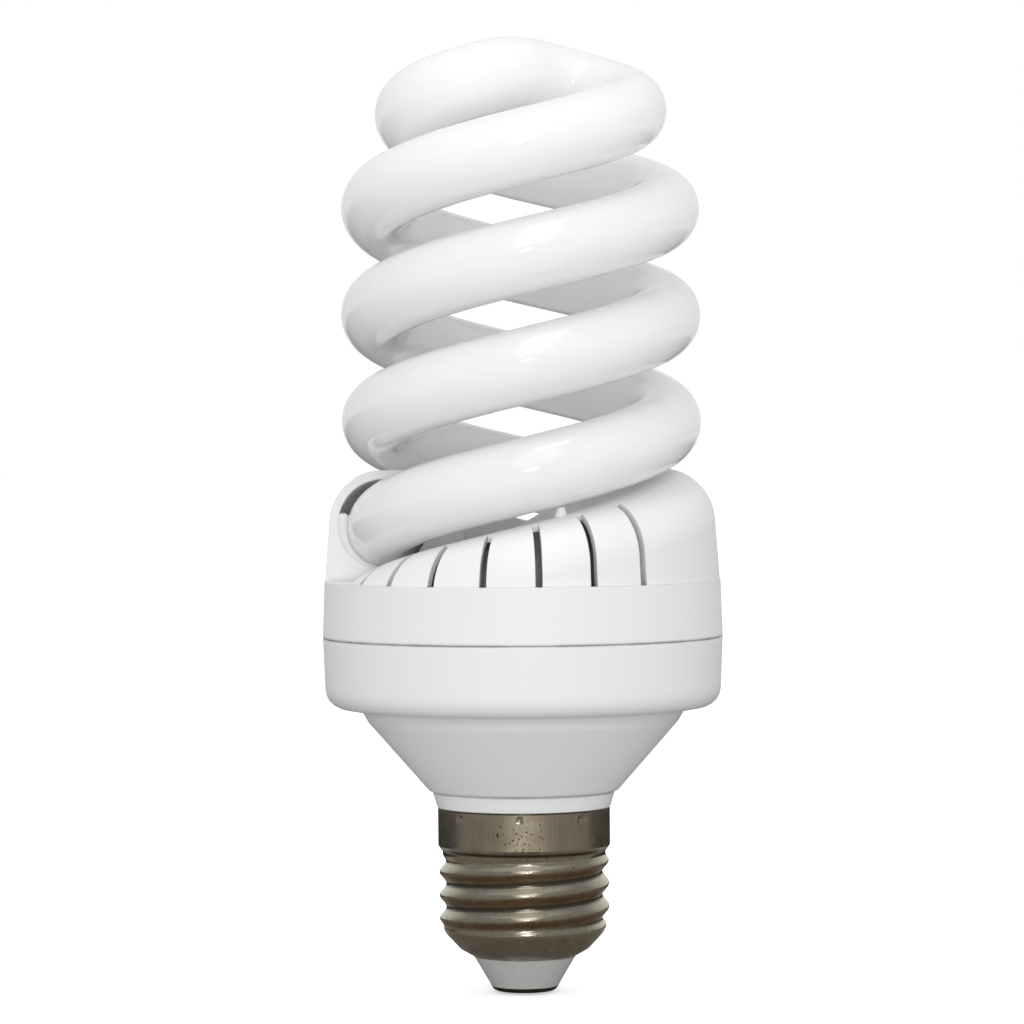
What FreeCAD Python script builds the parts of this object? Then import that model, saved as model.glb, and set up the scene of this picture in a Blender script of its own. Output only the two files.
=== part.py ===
import FreeCAD, Part
import math
import os

import Sketcher
from FreeCAD import Placement, Rotation, Vector

# Spiral energy saving lamp: screw cap, two-part vented housing with its ballast board,
# and one glass tube wound as a double spiral. Millimetres, +Z up along the lamp's axis,
# origin on that axis at the face of the centre contact. Angles run anticlockwise from +X
# seen from above, and the spiral climbs the same way.

UP = Vector(0, 0, 1)

SIZES = {
    # Screw cap
    "contact_radius": 5.2,
    "contact_plate": 1.3,
    "contact_round": 1.0,
    "contact_pin_radius": 1.2,
    "contact_pin_length": 7.7,
    "insulator_foot_radius": 5.75,
    "insulator_foot_rise": 0.75,
    "insulator_radius": 7.9,
    "insulator_height": 5.36,
    "insulator_flange": 1.3,
    "insulator_plug_height": 3.2,
    "shell_wall": 0.35,
    "shell_lip": 0.5,
    "shell_knee_radius": 10.0,
    "shell_knee_rise": 1.2,
    "shell_cone_rise": 2.8,
    "thread_mean_radius": 12.6,
    "thread_throw": 0.52,
    "thread_pitch": 3.62,
    "thread_turns": 3.4,
    "skirt_radius": 13.3,
    "skirt_ease": 0.9,
    "skirt_height": 5.94,
    "crimp_count": 8,
    "crimp_angle": -3.0,
    "crimp_drop": 1.0,
    "crimp_radius": 0.62,
    "crimp_depth": 0.27,
    # Lower cup
    "neck_fit": 0.1,
    "plug_rise": 0.7,
    "plug_wall": 1.2,
    "neck_radius": 13.4,
    "neck_top_radius": 14.1,
    "neck_height": 2.36,
    "cone_low_radius": 14.7,
    "cone_step": 0.24,
    "cone_top_radius": 23.9,
    "cone_height": 9.3,
    "brow_radius": 25.3,
    "brow_height": 2.25,
    "floor_rise": 0.8,
    "cup_round": 3.0,
    "cup_draft": 0.46,
    "cup_band_height": 8.4,
    "seam_radius": 30.9,
    "cup_wall": 1.6,
    "seam_groove": 0.25,
    # Ballast board seat
    "board_thickness": 1.6,
    "board_drop": 4.8,
    "board_fit": 0.2,
    "shelf_width": 2.2,
    # Vented cover
    "cover_wall": 1.5,
    "ring_fit": 0.1,
    "ring_wall": 1.4,
    "bead_height": 0.3,
    "bead_drop": 1.9,
    "cover_band_height": 8.6,
    "cover_draft": 0.3,
    "ledge_setback": 0.75,
    "well_radius": 9.0,
    "hood_draft": 4.4,
    "socket_gap": 1.25,
    "socket_rim": 1.4,
    "socket_sill": 1.85,
    "socket_lift": 0.7,
    "socket_out": 0.2,
    "socket_depth": 4.5,
    "slot_width": 1.05,
    "slot_count": 7,
    "slot_step": 16.1,
    "slot_first": 30.3,
    "slot_reach": 7.0,
    "nub_angle": 105.7,
    "nub_radius": 1.2,
    "nub_taper": 0.5,
    "nub_sink": 0.6,
    "nub_clearance": 0.15,
    # Spiral tube
    "tube_diameter": 11.4,
    "coil_radius": 22.0,
    "coil_pitch": 32.8,
    "coil_degrees": 775.0,
    "foot_ease": 180.0,
    "crown_decay": 45.0,
    "crown_ease": 14.0,
    "tube_tail": 35.0,
    "tube_end_round": 2.5,
    "cement_recess": 1.6,
    "cement_sweep": 17.0,
    "cement_fit": 0.2,
    "cement_top": 12.0,
    "cement_end": 115.0,
    # Wires and pins
    "wire_radius": 0.3,
    "leg_radius": 0.3,
    "leg_hole_fit": 0.15,
    "leg_proud": 1.2,
    "lead_reach": 4.0,
    "lead_spacing": 3.6,
    "lead_bend": 1.5,
    "pin_width": 0.9,
    "pin_height": 6.0,
    "mains_wire_radius": 0.6,
    "mains_wire_gap": 0.73,
    "mains_bend": 2.5,
    "mains_rise": 7.5,
    "mains_turn_in": 0.9,
    # Bulk capacitor
    "bulk_radius": 5.0,
    "bulk_length": 16.0,
    "bulk_round": 0.8,
    "bulk_leg_spacing": 5.0,
    # Choke
    "choke_x": -11.4,
    "choke_y": 0.0,
    "core_width": 12.6,
    "core_depth": 6.0,
    "core_height": 10.0,
    "core_yoke": 2.4,
    "core_side": 1.5,
    "core_post": 2.8,
    "bobbin_wall": 0.6,
    "bobbin_gap": 0.1,
    "bobbin_depth": 10.8,
    "winding_margin": 0.4,
    "choke_pin_x": 3.6,
    "choke_pin_y": 4.4,
    # Feedback ring
    "toroid_x": 4.6,
    "toroid_y": 12.0,
    "toroid_outer": 4.6,
    "toroid_inner": 2.6,
    "toroid_height": 4.0,
    "toroid_standoff": 0.75,
    "toroid_turns": 8,
    "toroid_wire": 0.5,
    "toroid_wire_gap": 0.1,
    # Transistors
    "transistor_x": 12.0,
    "transistor_low_y": -4.2,
    "transistor_high_y": 4.8,
    "transistor_width": 7.6,
    "transistor_body": 10.6,
    "transistor_thickness": 2.7,
    "transistor_standoff": 1.6,
    "transistor_leg_spacing": 2.3,
    "transistor_hole": 1.6,
    "transistor_hole_drop": 7.0,
    # Small axial parts
    "axial_stub": 1.0,
    "diode_radius": 1.3,
    "diode_length": 5.0,
    "diode_x": 19.0,
    "diode_step": 4.2,
    "resistor_radius": 1.0,
    "resistor_length": 4.4,
    "resistor_x": -22.0,
    "resistor_step": 4.0,
    "fuse_radius": 1.5,
    "fuse_length": 7.5,
    "fuse_x": -3.2,
    "fuse_y": 19.0,
    "diac_radius": 0.9,
    "diac_length": 3.6,
    "diac_x": 6.5,
    "diac_y": 20.0,
    # Film capacitors
    "film_round": 0.7,
    "resonant_x": -3.5,
    "resonant_y": -13.0,
    "resonant_width": 10.0,
    "resonant_depth": 4.5,
    "resonant_height": 9.0,
    "coupling_x": 8.4,
    "coupling_y": -12.2,
    "coupling_width": 8.4,
    "coupling_depth": 4.0,
    "coupling_height": 8.0,
    "starter_x": -13.2,
    "starter_y": -9.4,
    "starter_width": 7.0,
    "starter_depth": 3.4,
    "starter_height": 7.0,
    # Mains filter coil and thermistor
    "filter_x": -6.0,
    "filter_y": 11.6,
    "filter_radius": 3.8,
    "filter_height": 8.0,
    "filter_flange": 1.2,
    "filter_post": 1.8,
    "filter_margin": 0.3,
    "thermistor_x": 13.2,
    "thermistor_y": 12.8,
    "thermistor_radius": 3.0,
    "thermistor_thickness": 2.8,
    "thermistor_standoff": 1.0,
}

# Levels and radii that follow from the sizes
LEVELS = {
    "contact_pin_top": "Sheet.contact_plate + Sheet.contact_pin_length",
    "knee_z": "Sheet.insulator_height + Sheet.shell_knee_rise",
    "lip_radius": "Sheet.insulator_radius - Sheet.shell_lip",
    "thread_z": "knee_z + Sheet.shell_cone_rise",
    "plug_end": "thread_z + Sheet.plug_rise",
    "thread_top": "thread_z + Sheet.thread_turns * Sheet.thread_pitch",
    "skirt_z": "thread_top + Sheet.skirt_ease",
    "cap_top": "skirt_z + Sheet.skirt_height",
    "neck_plug_radius": "Sheet.skirt_radius - Sheet.shell_wall - Sheet.neck_fit",
    "plug_radius": "Sheet.thread_mean_radius - Sheet.thread_throw - Sheet.shell_wall - Sheet.neck_fit",
    "plug_bore": "plug_radius - Sheet.plug_wall",
    "mains_wire_out": "plug_bore - Sheet.mains_wire_radius - Sheet.mains_wire_gap",
    "neck_top": "cap_top + Sheet.neck_height",
    "cone_z": "neck_top + Sheet.cone_step",
    "cone_top": "cone_z + Sheet.cone_height",
    "brow_top": "cone_top + Sheet.brow_height",
    "floor_z": "brow_top + Sheet.floor_rise",
    "seam_z": "floor_z + Sheet.cup_round + Sheet.cup_band_height",
    "cup_low_radius": "Sheet.seam_radius - Sheet.cup_draft",
    "cup_bore": "Sheet.seam_radius - Sheet.cup_wall",
    "board_z": "seam_z - Sheet.board_drop",
    "board_top": "board_z + Sheet.board_thickness",
    "board_radius": "cup_bore - Sheet.board_fit",
    "shelf_bore": "cup_bore - Sheet.shelf_width",
    "ring_radius": "cup_bore - Sheet.ring_fit",
    "ring_bore": "ring_radius - Sheet.ring_wall",
    "ledge_z": "seam_z + Sheet.cover_band_height",
    "ledge_radius": "Sheet.seam_radius - Sheet.cover_draft",
    "tube_radius": "Sheet.tube_diameter / 2",
    "bore": "tube_radius + Sheet.socket_gap",
    "hood": "bore + Sheet.socket_rim",
    "socket_r": "ledge_radius - Sheet.ledge_setback - hood",
    "socket_z": "ledge_z + Sheet.socket_sill + bore",
    "foot_r": "socket_r - Sheet.socket_out",
    "foot_z": "socket_z - Sheet.socket_lift",
    "ramp_rise": "Sheet.coil_pitch / 2",
    "crest_high": "socket_z + hood",
    "crest_low": "crest_high - ramp_rise",
    "hood_drop": "ramp_rise + Sheet.cover_wall",
    "pin_top": "board_top + Sheet.pin_height",
}

doc = FreeCAD.newDocument("spiral_lamp")
sheet = doc.addObject("Spreadsheet::Sheet", "Sheet")
levels = doc.addObject("Spreadsheet::Sheet", "Levels")
for row, (alias, size) in enumerate(SIZES.items(), start=1):
    sheet.set(f"A{row}", alias)
    sheet.set(f"B{row}", str(size))
    sheet.setAlias(f"B{row}", alias)
for row, (alias, formula) in enumerate(LEVELS.items(), start=1):
    levels.set(f"A{row}", alias)
    levels.set(f"B{row}", "=" + formula)
    levels.setAlias(f"B{row}", alias)
doc.recompute()

parts = {}


def value(expression):
    """Number that an expression over the two sheets gives now."""
    found = sheet.evalExpression(str(expression))
    return float(getattr(found, "Value", found))


def sub_part(label, obj):
    """Name a finished object as one piece of the lamp."""
    obj.Label = label
    parts[label] = obj
    return obj


def origin_plane(body, role):
    return next(f for f in body.Origin.OriginFeatures if f.Role == role)


def new_sketch(body, name, plane="XZ_Plane", lift=None, turn=None):
    """Empty sketch on one of the body's planes, lifted along and turned about its normal."""
    sketch = body.newObject("Sketcher::SketchObject", name)
    sketch.AttachmentSupport = [(origin_plane(body, plane), "")]
    sketch.MapMode = "FlatFace"
    if turn is not None:
        axis = UP if plane == "XY_Plane" else Vector(0, 1, 0)
        sketch.AttachmentOffset = Placement(Vector(), Rotation(axis, 1))
        sketch.setExpression("AttachmentOffset.Rotation.Angle", turn)
    if lift is not None:
        sketch.setExpression("AttachmentOffset.Base.z", lift)
    return sketch


def fix_point(sketch, geometry, end, name, x, y):
    """Tie one point of a sketch to expressions for its two coordinates."""
    axes = (("DistanceX", -2, x, "x"), ("DistanceY", -1, y, "y"))
    for kind, axis, expression, letter in axes:
        if expression == "0":
            sketch.addConstraint(Sketcher.Constraint("PointOnObject", geometry, end, axis))
            continue
        number = sketch.addConstraint(
            Sketcher.Constraint(kind, -1, 1, geometry, end, value(expression)))
        sketch.renameConstraint(number, f"{name}{letter}")
        sketch.setExpression(f"Constraints.{name}{letter}", expression)


def add_outline(sketch, corners, tag="p"):
    """Closed outline. A corner is (x, y), or (x, y, radius, side) where an arc leaves it
    with its centre on that side, 1 for the left hand of the way round and -1 for the right."""
    places = [Vector(value(c[0]), value(c[1]), 0) for c in corners]
    edges = []
    for i, corner in enumerate(corners):
        start, end = places[i], places[(i + 1) % len(corners)]
        if len(corner) == 2:
            edges.append((sketch.addGeometry(Part.LineSegment(start, end)), 1, 2))
            continue
        radius, side = value(corner[2]), corner[3]
        chord = end - start
        reach = math.sqrt(max(radius ** 2 - (chord.Length / 2) ** 2, 0))
        normal = Vector(-chord.y, chord.x, 0).normalize() * side
        centre = (start + end) * 0.5 + normal * reach
        first, last = (start, end) if side > 0 else (end, start)
        angles = [math.atan2(p.y - centre.y, p.x - centre.x) for p in (first, last)]
        if angles[1] < angles[0]:
            angles[1] += 2 * math.pi
        circle = Part.Circle(centre, UP, radius)
        arc = sketch.addGeometry(Part.ArcOfCircle(circle, *angles))
        edges.append((arc, 1, 2) if side > 0 else (arc, 2, 1))
    for i, (geometry, start_end, _) in enumerate(edges):
        before, _, before_end = edges[i - 1]
        sketch.addConstraint(
            Sketcher.Constraint("Coincident", before, before_end, geometry, start_end))
        fix_point(sketch, geometry, start_end, f"{tag}{i}", *corners[i][:2])
    for i, corner in enumerate(corners):
        if len(corner) > 2:
            number = sketch.addConstraint(
                Sketcher.Constraint("Radius", edges[i][0], value(corner[2])))
            sketch.renameConstraint(number, f"{tag}{i}radius")
            sketch.setExpression(f"Constraints.{tag}{i}radius", corner[2])


def outline(body, name, corners, **place):
    sketch = new_sketch(body, name, **place)
    add_outline(sketch, corners)
    return sketch


def revolve(body, name, corners, cut=False):
    """Turn an (r, z) outline once round the lamp's axis."""
    sketch = outline(body, name + "_section", corners)
    kind = "PartDesign::Groove" if cut else "PartDesign::Revolution"
    feature = body.newObject(kind, name)
    feature.Profile = sketch
    feature.ReferenceAxis = (sketch, ["V_Axis"])
    feature.Angle = 360
    return feature


def helix(body, name, sketch, height, cut=False, down=False):
    """Sweep a section along the spiral's own pitch, up or down by the height given."""
    kind = "PartDesign::SubtractiveHelix" if cut else "PartDesign::AdditiveHelix"
    feature = body.newObject(kind, name)
    feature.Profile = sketch
    feature.ReferenceAxis = (sketch, ["V_Axis"])
    feature.Mode = 0
    feature.setExpression("Pitch", "Sheet.coil_pitch")
    feature.setExpression("Height", height)
    feature.Angle = 0
    feature.Reversed = down
    feature.HasBeenEdited = True
    return feature


def both_sides(body, feature, sketch):
    """Repeat a feature half a turn away, for the tube's other end."""
    pattern = body.newObject("PartDesign::PolarPattern", feature.Name + "_pair")
    pattern.Originals = [feature]
    pattern.Axis = (sketch, ["V_Axis"])
    pattern.Angle = 360
    pattern.Occurrences = 2
    body.Tip = pattern
    return pattern


def primitive(kind, name, at=("0", "0", "0"), rotation=None, **sizes):
    """A Part primitive with its sizes and place tied to expressions."""
    obj = doc.addObject("Part::" + kind, name)
    if rotation is not None:
        obj.Placement = Placement(Vector(), rotation)
    for prop, expression in sizes.items():
        obj.setExpression(prop, expression)
    for axis, expression in zip("xyz", at):
        obj.setExpression("Placement.Base." + axis, expression)
    return obj


def centred_box(name, x, y, z, width, depth, height):
    """Box centred on x and y, standing on z."""
    at = (f"{x} - ({width}) / 2", f"{y} - ({depth}) / 2", z)
    return primitive("Box", name, at, Length=width, Width=depth, Height=height)


def fuse(name, shapes):
    joined = doc.addObject("Part::MultiFuse", name)
    joined.Shapes = shapes
    return joined


def cut(name, base, tool):
    result = doc.addObject("Part::Cut", name)
    result.Base = base
    result.Tool = tool
    return result


# Centre contact: a pressed plate with the pin that clamps the live wire

body = doc.addObject("PartDesign::Body", "contact_body")
revolve(body, "contact", [
    ("0", "0"),
    ("Sheet.contact_radius - Sheet.contact_round", "0", "Sheet.contact_round", 1),
    ("Sheet.contact_radius", "Sheet.contact_round"),
    ("Sheet.contact_radius", "Sheet.contact_plate"),
    ("Sheet.contact_pin_radius", "Sheet.contact_plate"),
    ("Sheet.contact_pin_radius", "Levels.contact_pin_top"),
    ("0", "Levels.contact_pin_top"),
])
sub_part("centre_contact", body)

# Cap insulator: a moulded plug that holds the contact and grips the lip of the shell

body = doc.addObject("PartDesign::Body", "insulator_body")
revolve(body, "insulator", [
    ("Sheet.contact_pin_radius", "Sheet.contact_plate"),
    ("Sheet.contact_radius", "Sheet.contact_plate"),
    ("Sheet.contact_radius", "Sheet.insulator_foot_rise"),
    ("Sheet.insulator_foot_radius", "Sheet.insulator_foot_rise + Sheet.contact_round"),
    ("Sheet.insulator_radius", "Sheet.insulator_height"),
    ("Levels.lip_radius", "Sheet.insulator_height"),
    ("Levels.lip_radius", "Sheet.insulator_height + Sheet.shell_wall"),
    ("Levels.lip_radius + Sheet.insulator_flange",
     "Sheet.insulator_height + Sheet.shell_wall + Sheet.insulator_flange"),
    ("Levels.lip_radius + Sheet.insulator_flange",
     "Sheet.insulator_height + Sheet.insulator_plug_height"),
    ("Sheet.contact_pin_radius", "Sheet.insulator_height + Sheet.insulator_plug_height"),
])
sub_part("cap_insulator", body)


# Screw shell: drawn sheet metal. A rolled round thread has nearly circular level sections,
# so each level is a circle whose centre walks round the axis once per pitch, and the walk
# dies out at both ends of the thread.

THREAD_LEVELS_PER_TURN = 12


def thread_skin(inset):
    """Rolled thread as an open sheet, inset from the outside by the thickness given."""
    pitch, turns = value("Sheet.thread_pitch"), value("Sheet.thread_turns")
    steps = round(turns * THREAD_LEVELS_PER_TURN)
    rings = []
    for step in range(steps + 1):
        turn = turns * step / steps
        run_out = min(turn, turns - turn, 0.5) / 0.5
        throw = value("Sheet.thread_throw") * run_out ** 2 * (3 - 2 * run_out)
        angle = 2 * math.pi * turn
        centre = Vector(throw * math.cos(angle), throw * math.sin(angle),
                        value("Levels.thread_z") + pitch * turn)
        circle = Part.Circle(centre, UP, value("Sheet.thread_mean_radius") - inset)
        rings.append(Part.Wire(circle.toShape()))
    return Part.makeLoft(rings, False, False), rings[0], rings[-1]


def thread_sleeve():
    """Closed tube of sheet metal between the thread's outer and inner skins."""
    outer, outer_low, outer_high = thread_skin(0)
    inner, inner_low, inner_high = thread_skin(value("Sheet.shell_wall"))
    rims = [Part.Face([outer_low, inner_low]), Part.Face([outer_high, inner_high])]
    skin = Part.makeShell(outer.Faces + inner.Faces + rims)
    skin.sewShape()
    sleeve = Part.makeSolid(skin)
    sleeve.fix(1e-4, 1e-4, 1e-4)
    return sleeve


def turned_ring(points):
    """Ring with the closed (r, z) outline given."""
    wire = Part.makePolygon([Vector(r, 0, z) for r, z in points + points[:1]])
    return Part.Face(wire).revolve(Vector(), UP, 360)


def shell_bottom():
    """Cone below the thread, down to the lip that the insulator grips."""
    wall = value("Sheet.shell_wall")
    lip, rim = value("Levels.lip_radius"), value("Sheet.insulator_radius")
    knee, mean = value("Sheet.shell_knee_radius"), value("Sheet.thread_mean_radius")
    low, bend = value("Sheet.insulator_height"), value("Levels.knee_z")
    start = value("Levels.thread_z")
    return turned_ring([
        (lip, low), (rim, low), (knee, bend), (mean, start),
        (mean - wall, start), (knee - wall, bend + wall), (rim - wall, low + wall), (lip, low + wall)])


def crimp_balls(radius):
    """Balls round the skirt. Those of the crimp's own radius reach in by the crimp depth."""
    out = value("Sheet.skirt_radius - Sheet.crimp_depth + Sheet.crimp_radius")
    level = value("Levels.cap_top - Sheet.crimp_drop")
    count = round(value("Sheet.crimp_count"))
    balls = []
    for number in range(count):
        angle = math.radians(270 + value("Sheet.crimp_angle") + 360 * number / count)
        centre = Vector(out * math.cos(angle), out * math.sin(angle), level)
        balls.append(Part.makeSphere(radius, centre))
    return balls


def shell_skirt():
    """Plain skirt above the thread, punched inwards at the crimps."""
    wall, mean = value("Sheet.shell_wall"), value("Sheet.thread_mean_radius")
    skirt, end = value("Sheet.skirt_radius"), value("Levels.thread_top")
    shoulder, top = value("Levels.skirt_z"), value("Levels.cap_top")
    ring = turned_ring([
        (mean, end), (skirt, shoulder), (skirt, top),
        (skirt - wall, top), (skirt - wall, shoulder), (mean - wall, end)])
    inside = Part.makeCylinder(skirt, top - shoulder, Vector(0, 0, shoulder))
    dents = [ball.common(inside) for ball in crimp_balls(value("Sheet.crimp_radius") + wall)]
    return ring.multiFuse(dents).cut(crimp_balls(value("Sheet.crimp_radius")))


shell = doc.addObject("Part::Feature", "shell_sheet")
shell.Shape = thread_sleeve().multiFuse([shell_bottom(), shell_skirt()])
sub_part("screw_shell", shell)

# Lower cup: moulded neck, cone and band in one, with the shelf that carries the board

body = doc.addObject("PartDesign::Body", "cup_body")
cone_lean = "(Sheet.cone_top_radius - Sheet.cone_low_radius) / Sheet.cone_height"
cone_wall_rise = f"Sheet.cup_wall * sqrt(1 + 1 / ({cone_lean}) ^ 2)"
bore_meets_cone = (f"Levels.cone_z + (Levels.plug_bore - Sheet.cone_low_radius) / ({cone_lean})"
                   f" + {cone_wall_rise}")
cup_floor = "Levels.floor_z + Sheet.cup_wall"
cone_meets_floor = (f"Sheet.cone_low_radius + ({cup_floor} - {cone_wall_rise} - Levels.cone_z)"
                    f" * ({cone_lean})")
groove_z = "Levels.seam_z - Sheet.bead_drop"
groove_half = "(Sheet.bead_height + Sheet.ring_fit)"
revolve(body, "cup", [
    ("Levels.plug_bore", "Levels.plug_end"),
    ("Levels.plug_radius", "Levels.plug_end"),
    ("Levels.plug_radius", "Levels.thread_top"),
    ("Levels.neck_plug_radius", "Levels.skirt_z + Sheet.neck_fit"),
    ("Levels.neck_plug_radius", "Levels.cap_top"),
    ("Sheet.neck_radius", "Levels.cap_top"),
    ("Sheet.neck_top_radius", "Levels.neck_top"),
    ("Sheet.cone_low_radius", "Levels.cone_z"),
    ("Sheet.cone_top_radius", "Levels.cone_top"),
    ("Sheet.brow_radius", "Levels.brow_top"),
    ("Levels.cup_low_radius - Sheet.cup_round", "Levels.floor_z", "Sheet.cup_round", 1),
    ("Levels.cup_low_radius", "Levels.floor_z + Sheet.cup_round"),
    ("Sheet.seam_radius", "Levels.seam_z - Sheet.seam_groove"),
    ("Sheet.seam_radius - Sheet.seam_groove", "Levels.seam_z"),
    ("Levels.cup_bore", "Levels.seam_z"),
    ("Levels.cup_bore", f"{groove_z} + {groove_half}"),
    ("Levels.cup_bore + Sheet.bead_height", groove_z),
    ("Levels.cup_bore", f"{groove_z} - {groove_half}"),
    ("Levels.cup_bore", "Levels.board_z"),
    ("Levels.shelf_bore", "Levels.board_z"),
    ("Levels.shelf_bore", cup_floor),
    (cone_meets_floor, cup_floor),
    ("Levels.plug_bore", bore_meets_cone),
])
neck_dents = doc.addObject("Part::Feature", "neck_dents")
dent_radius = value("Sheet.crimp_radius + Sheet.shell_wall + Sheet.neck_fit")
neck_dents.Shape = Part.makeCompound(crimp_balls(dent_radius))
sub_part("base_cup", cut("cup_with_dents", body, neck_dents))

# Vented cover: two half-turn ramps that climb with the tube, each ending in a hood with the
# socket that one tube end goes into

body = doc.addObject("PartDesign::Body", "cover_body")
revolve(body, "cover_band", [
    ("0", "Levels.seam_z"),
    ("Sheet.seam_radius", "Levels.seam_z"),
    ("Levels.ledge_radius", "Levels.ledge_z"),
    ("0", "Levels.ledge_z"),
])


def ramp_section(inset, foot):
    """Section of a ramp: flat top, round shoulder over the tube end, drafted outer wall."""
    round_radius = f"Levels.hood - {inset}"
    outer = f"Levels.socket_r + {round_radius}"
    shoulder_z = "Levels.crest_low - Levels.hood"
    draft = f"({foot} - Levels.hood) * tan(Sheet.hood_draft * 1 deg)"
    return [
        (f"Sheet.well_radius + {inset}", f"Levels.crest_low - {foot}"),
        (f"{outer} + {draft}", f"Levels.crest_low - {foot}"),
        (outer, shoulder_z, round_radius, 1),
        ("Levels.socket_r", f"Levels.crest_low - {inset}"),
        (f"Sheet.well_radius + {inset}", f"Levels.crest_low - {inset}"),
    ]


ramp_sketch = outline(body, "ramp_section", ramp_section("0", "Levels.hood_drop"))
ramp = helix(body, "ramp", ramp_sketch, "Levels.ramp_rise")
both_sides(body, ramp, ramp_sketch)
below = "(Levels.ramp_rise + Levels.hood_drop)"
revolve(body, "below_seam", [
    ("0", f"Levels.seam_z - {below}"),
    ("2 * Sheet.seam_radius", f"Levels.seam_z - {below}"),
    ("2 * Sheet.seam_radius", "Levels.seam_z"),
    ("0", "Levels.seam_z"),
], cut=True)
revolve(body, "band_hollow", [
    ("0", "Levels.seam_z"),
    ("Sheet.seam_radius - Sheet.cover_wall", "Levels.seam_z"),
    ("Levels.ledge_radius - Sheet.cover_wall", "Levels.ledge_z - Sheet.cover_wall"),
    ("0", "Levels.ledge_z - Sheet.cover_wall"),
], cut=True)
step_turn = "-Sheet.cover_wall / Levels.socket_r * 1 rad"
hollow_foot = "(Levels.hood_drop + 2 * Sheet.cover_wall)"
hollow_sketch = new_sketch(body, "hollow_section", turn=step_turn)
add_outline(hollow_sketch, ramp_section("Sheet.socket_rim", hollow_foot))
hollow = helix(body, "hollow", hollow_sketch, "Levels.ramp_rise", cut=True)
both_sides(body, hollow, hollow_sketch)
revolve(body, "locating_ring", [
    ("Levels.ring_bore", "Levels.board_top"),
    ("Levels.ring_radius", "Levels.board_top"),
    ("Levels.ring_radius", f"{groove_z} - Sheet.bead_height"),
    ("Levels.ring_radius + Sheet.bead_height", groove_z),
    ("Levels.ring_radius", f"{groove_z} + Sheet.bead_height"),
    ("Levels.ring_radius", "Levels.seam_z"),
    ("Sheet.seam_radius - Sheet.cover_wall / 2", "Levels.seam_z"),
    ("Levels.ring_bore", "Levels.seam_z + Sheet.cover_wall + Sheet.ring_wall"),
])
socket_sketch = new_sketch(body, "socket_section")
circle = socket_sketch.addGeometry(
    Part.Circle(Vector(value("Levels.socket_r"), value("Levels.socket_z"), 0), UP, value("Levels.bore")))
fix_point(socket_sketch, circle, 3, "centre_", "Levels.socket_r", "Levels.socket_z")
number = socket_sketch.addConstraint(Sketcher.Constraint("Radius", circle, value("Levels.bore")))
socket_sketch.renameConstraint(number, "bore")
socket_sketch.setExpression("Constraints.bore", "Levels.bore")
socket_rise = "Sheet.socket_depth / Levels.socket_r / (2 * pi) * Sheet.coil_pitch"
socket = helix(body, "socket", socket_sketch, socket_rise, cut=True, down=True)
both_sides(body, socket, socket_sketch)
slot_sketch = new_sketch(body, "slot_section", "XY_Plane", "Levels.ledge_z", "Sheet.slot_first * 1 deg")
slot_inner = "(Levels.ledge_radius - Sheet.slot_reach)"
slot_outer = "(Levels.ledge_radius + Sheet.slot_reach)"
half_slot = "Sheet.slot_width / 2"
add_outline(slot_sketch, [(slot_inner, f"-{half_slot}"), (slot_outer, f"-{half_slot}"),
                          (slot_outer, half_slot), (slot_inner, half_slot)], "a")
add_outline(slot_sketch, [(f"-{slot_inner}", half_slot), (f"-{slot_outer}", half_slot),
                          (f"-{slot_outer}", f"-{half_slot}"), (f"-{slot_inner}", f"-{half_slot}")], "b")
slot = body.newObject("PartDesign::Pocket", "slot")
slot.Profile = slot_sketch
slot.Reversed = True
slot.setExpression("Length", "2 * Levels.ramp_rise")
slots = body.newObject("PartDesign::PolarPattern", "slots")
slots.Originals = [slot]
slots.Axis = (slot_sketch, ["N_Axis"])
slots.setExpression("Angle", "Sheet.slot_step * (Sheet.slot_count - 1)")
slots.setExpression("Occurrences", "Sheet.slot_count")
body.Tip = slots
slope_stretch = "sqrt(1 + (Sheet.coil_pitch / (2 * pi * Levels.socket_r)) ^ 2)"
nub_rise = (f"(Levels.foot_z - Levels.tube_radius * {slope_stretch} - Levels.crest_low"
            " - Sheet.nub_clearance)")
nub_base = ("Levels.crest_low + Levels.ramp_rise * Sheet.nub_angle / 180 - Sheet.nub_sink")
for side in range(2):
    nub = body.newObject("PartDesign::AdditiveCone", f"nub_{side + 1}")
    nub.setExpression("Radius1", "Sheet.nub_radius")
    nub.setExpression("Radius2", "Sheet.nub_radius * Sheet.nub_taper")
    nub.setExpression("Height", f"{nub_rise} + Sheet.nub_sink")
    angle = f"(Sheet.nub_angle + {180 * side}) * 1 deg"
    nub.setExpression("Placement.Base.x", f"Levels.socket_r * cos({angle})")
    nub.setExpression("Placement.Base.y", f"Levels.socket_r * sin({angle})")
    nub.setExpression("Placement.Base.z", nub_base)
sub_part("top_cover", body)


# Spiral tube: the centre line is a pair of mirrored strands. Each leaves its socket on the
# ramp's own helix, eases out to the coil's radius, and at the top winds in to the axis,
# where it meets the other strand level. The line is a chain of tangent circular arcs.

HELIX_SPAN = 60.0
CROWN_SPAN = 30.0
CROWN_TURN = 180.0
TANGENT_STEP = 0.01


def climb(degrees):
    """Angle wound, less what the strand loses as it levels out just before the axis."""
    ease = value("Sheet.crown_ease")
    over = max(degrees - value("Sheet.coil_degrees") + ease, 0)
    return degrees - over ** 2 / (2 * ease)


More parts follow.
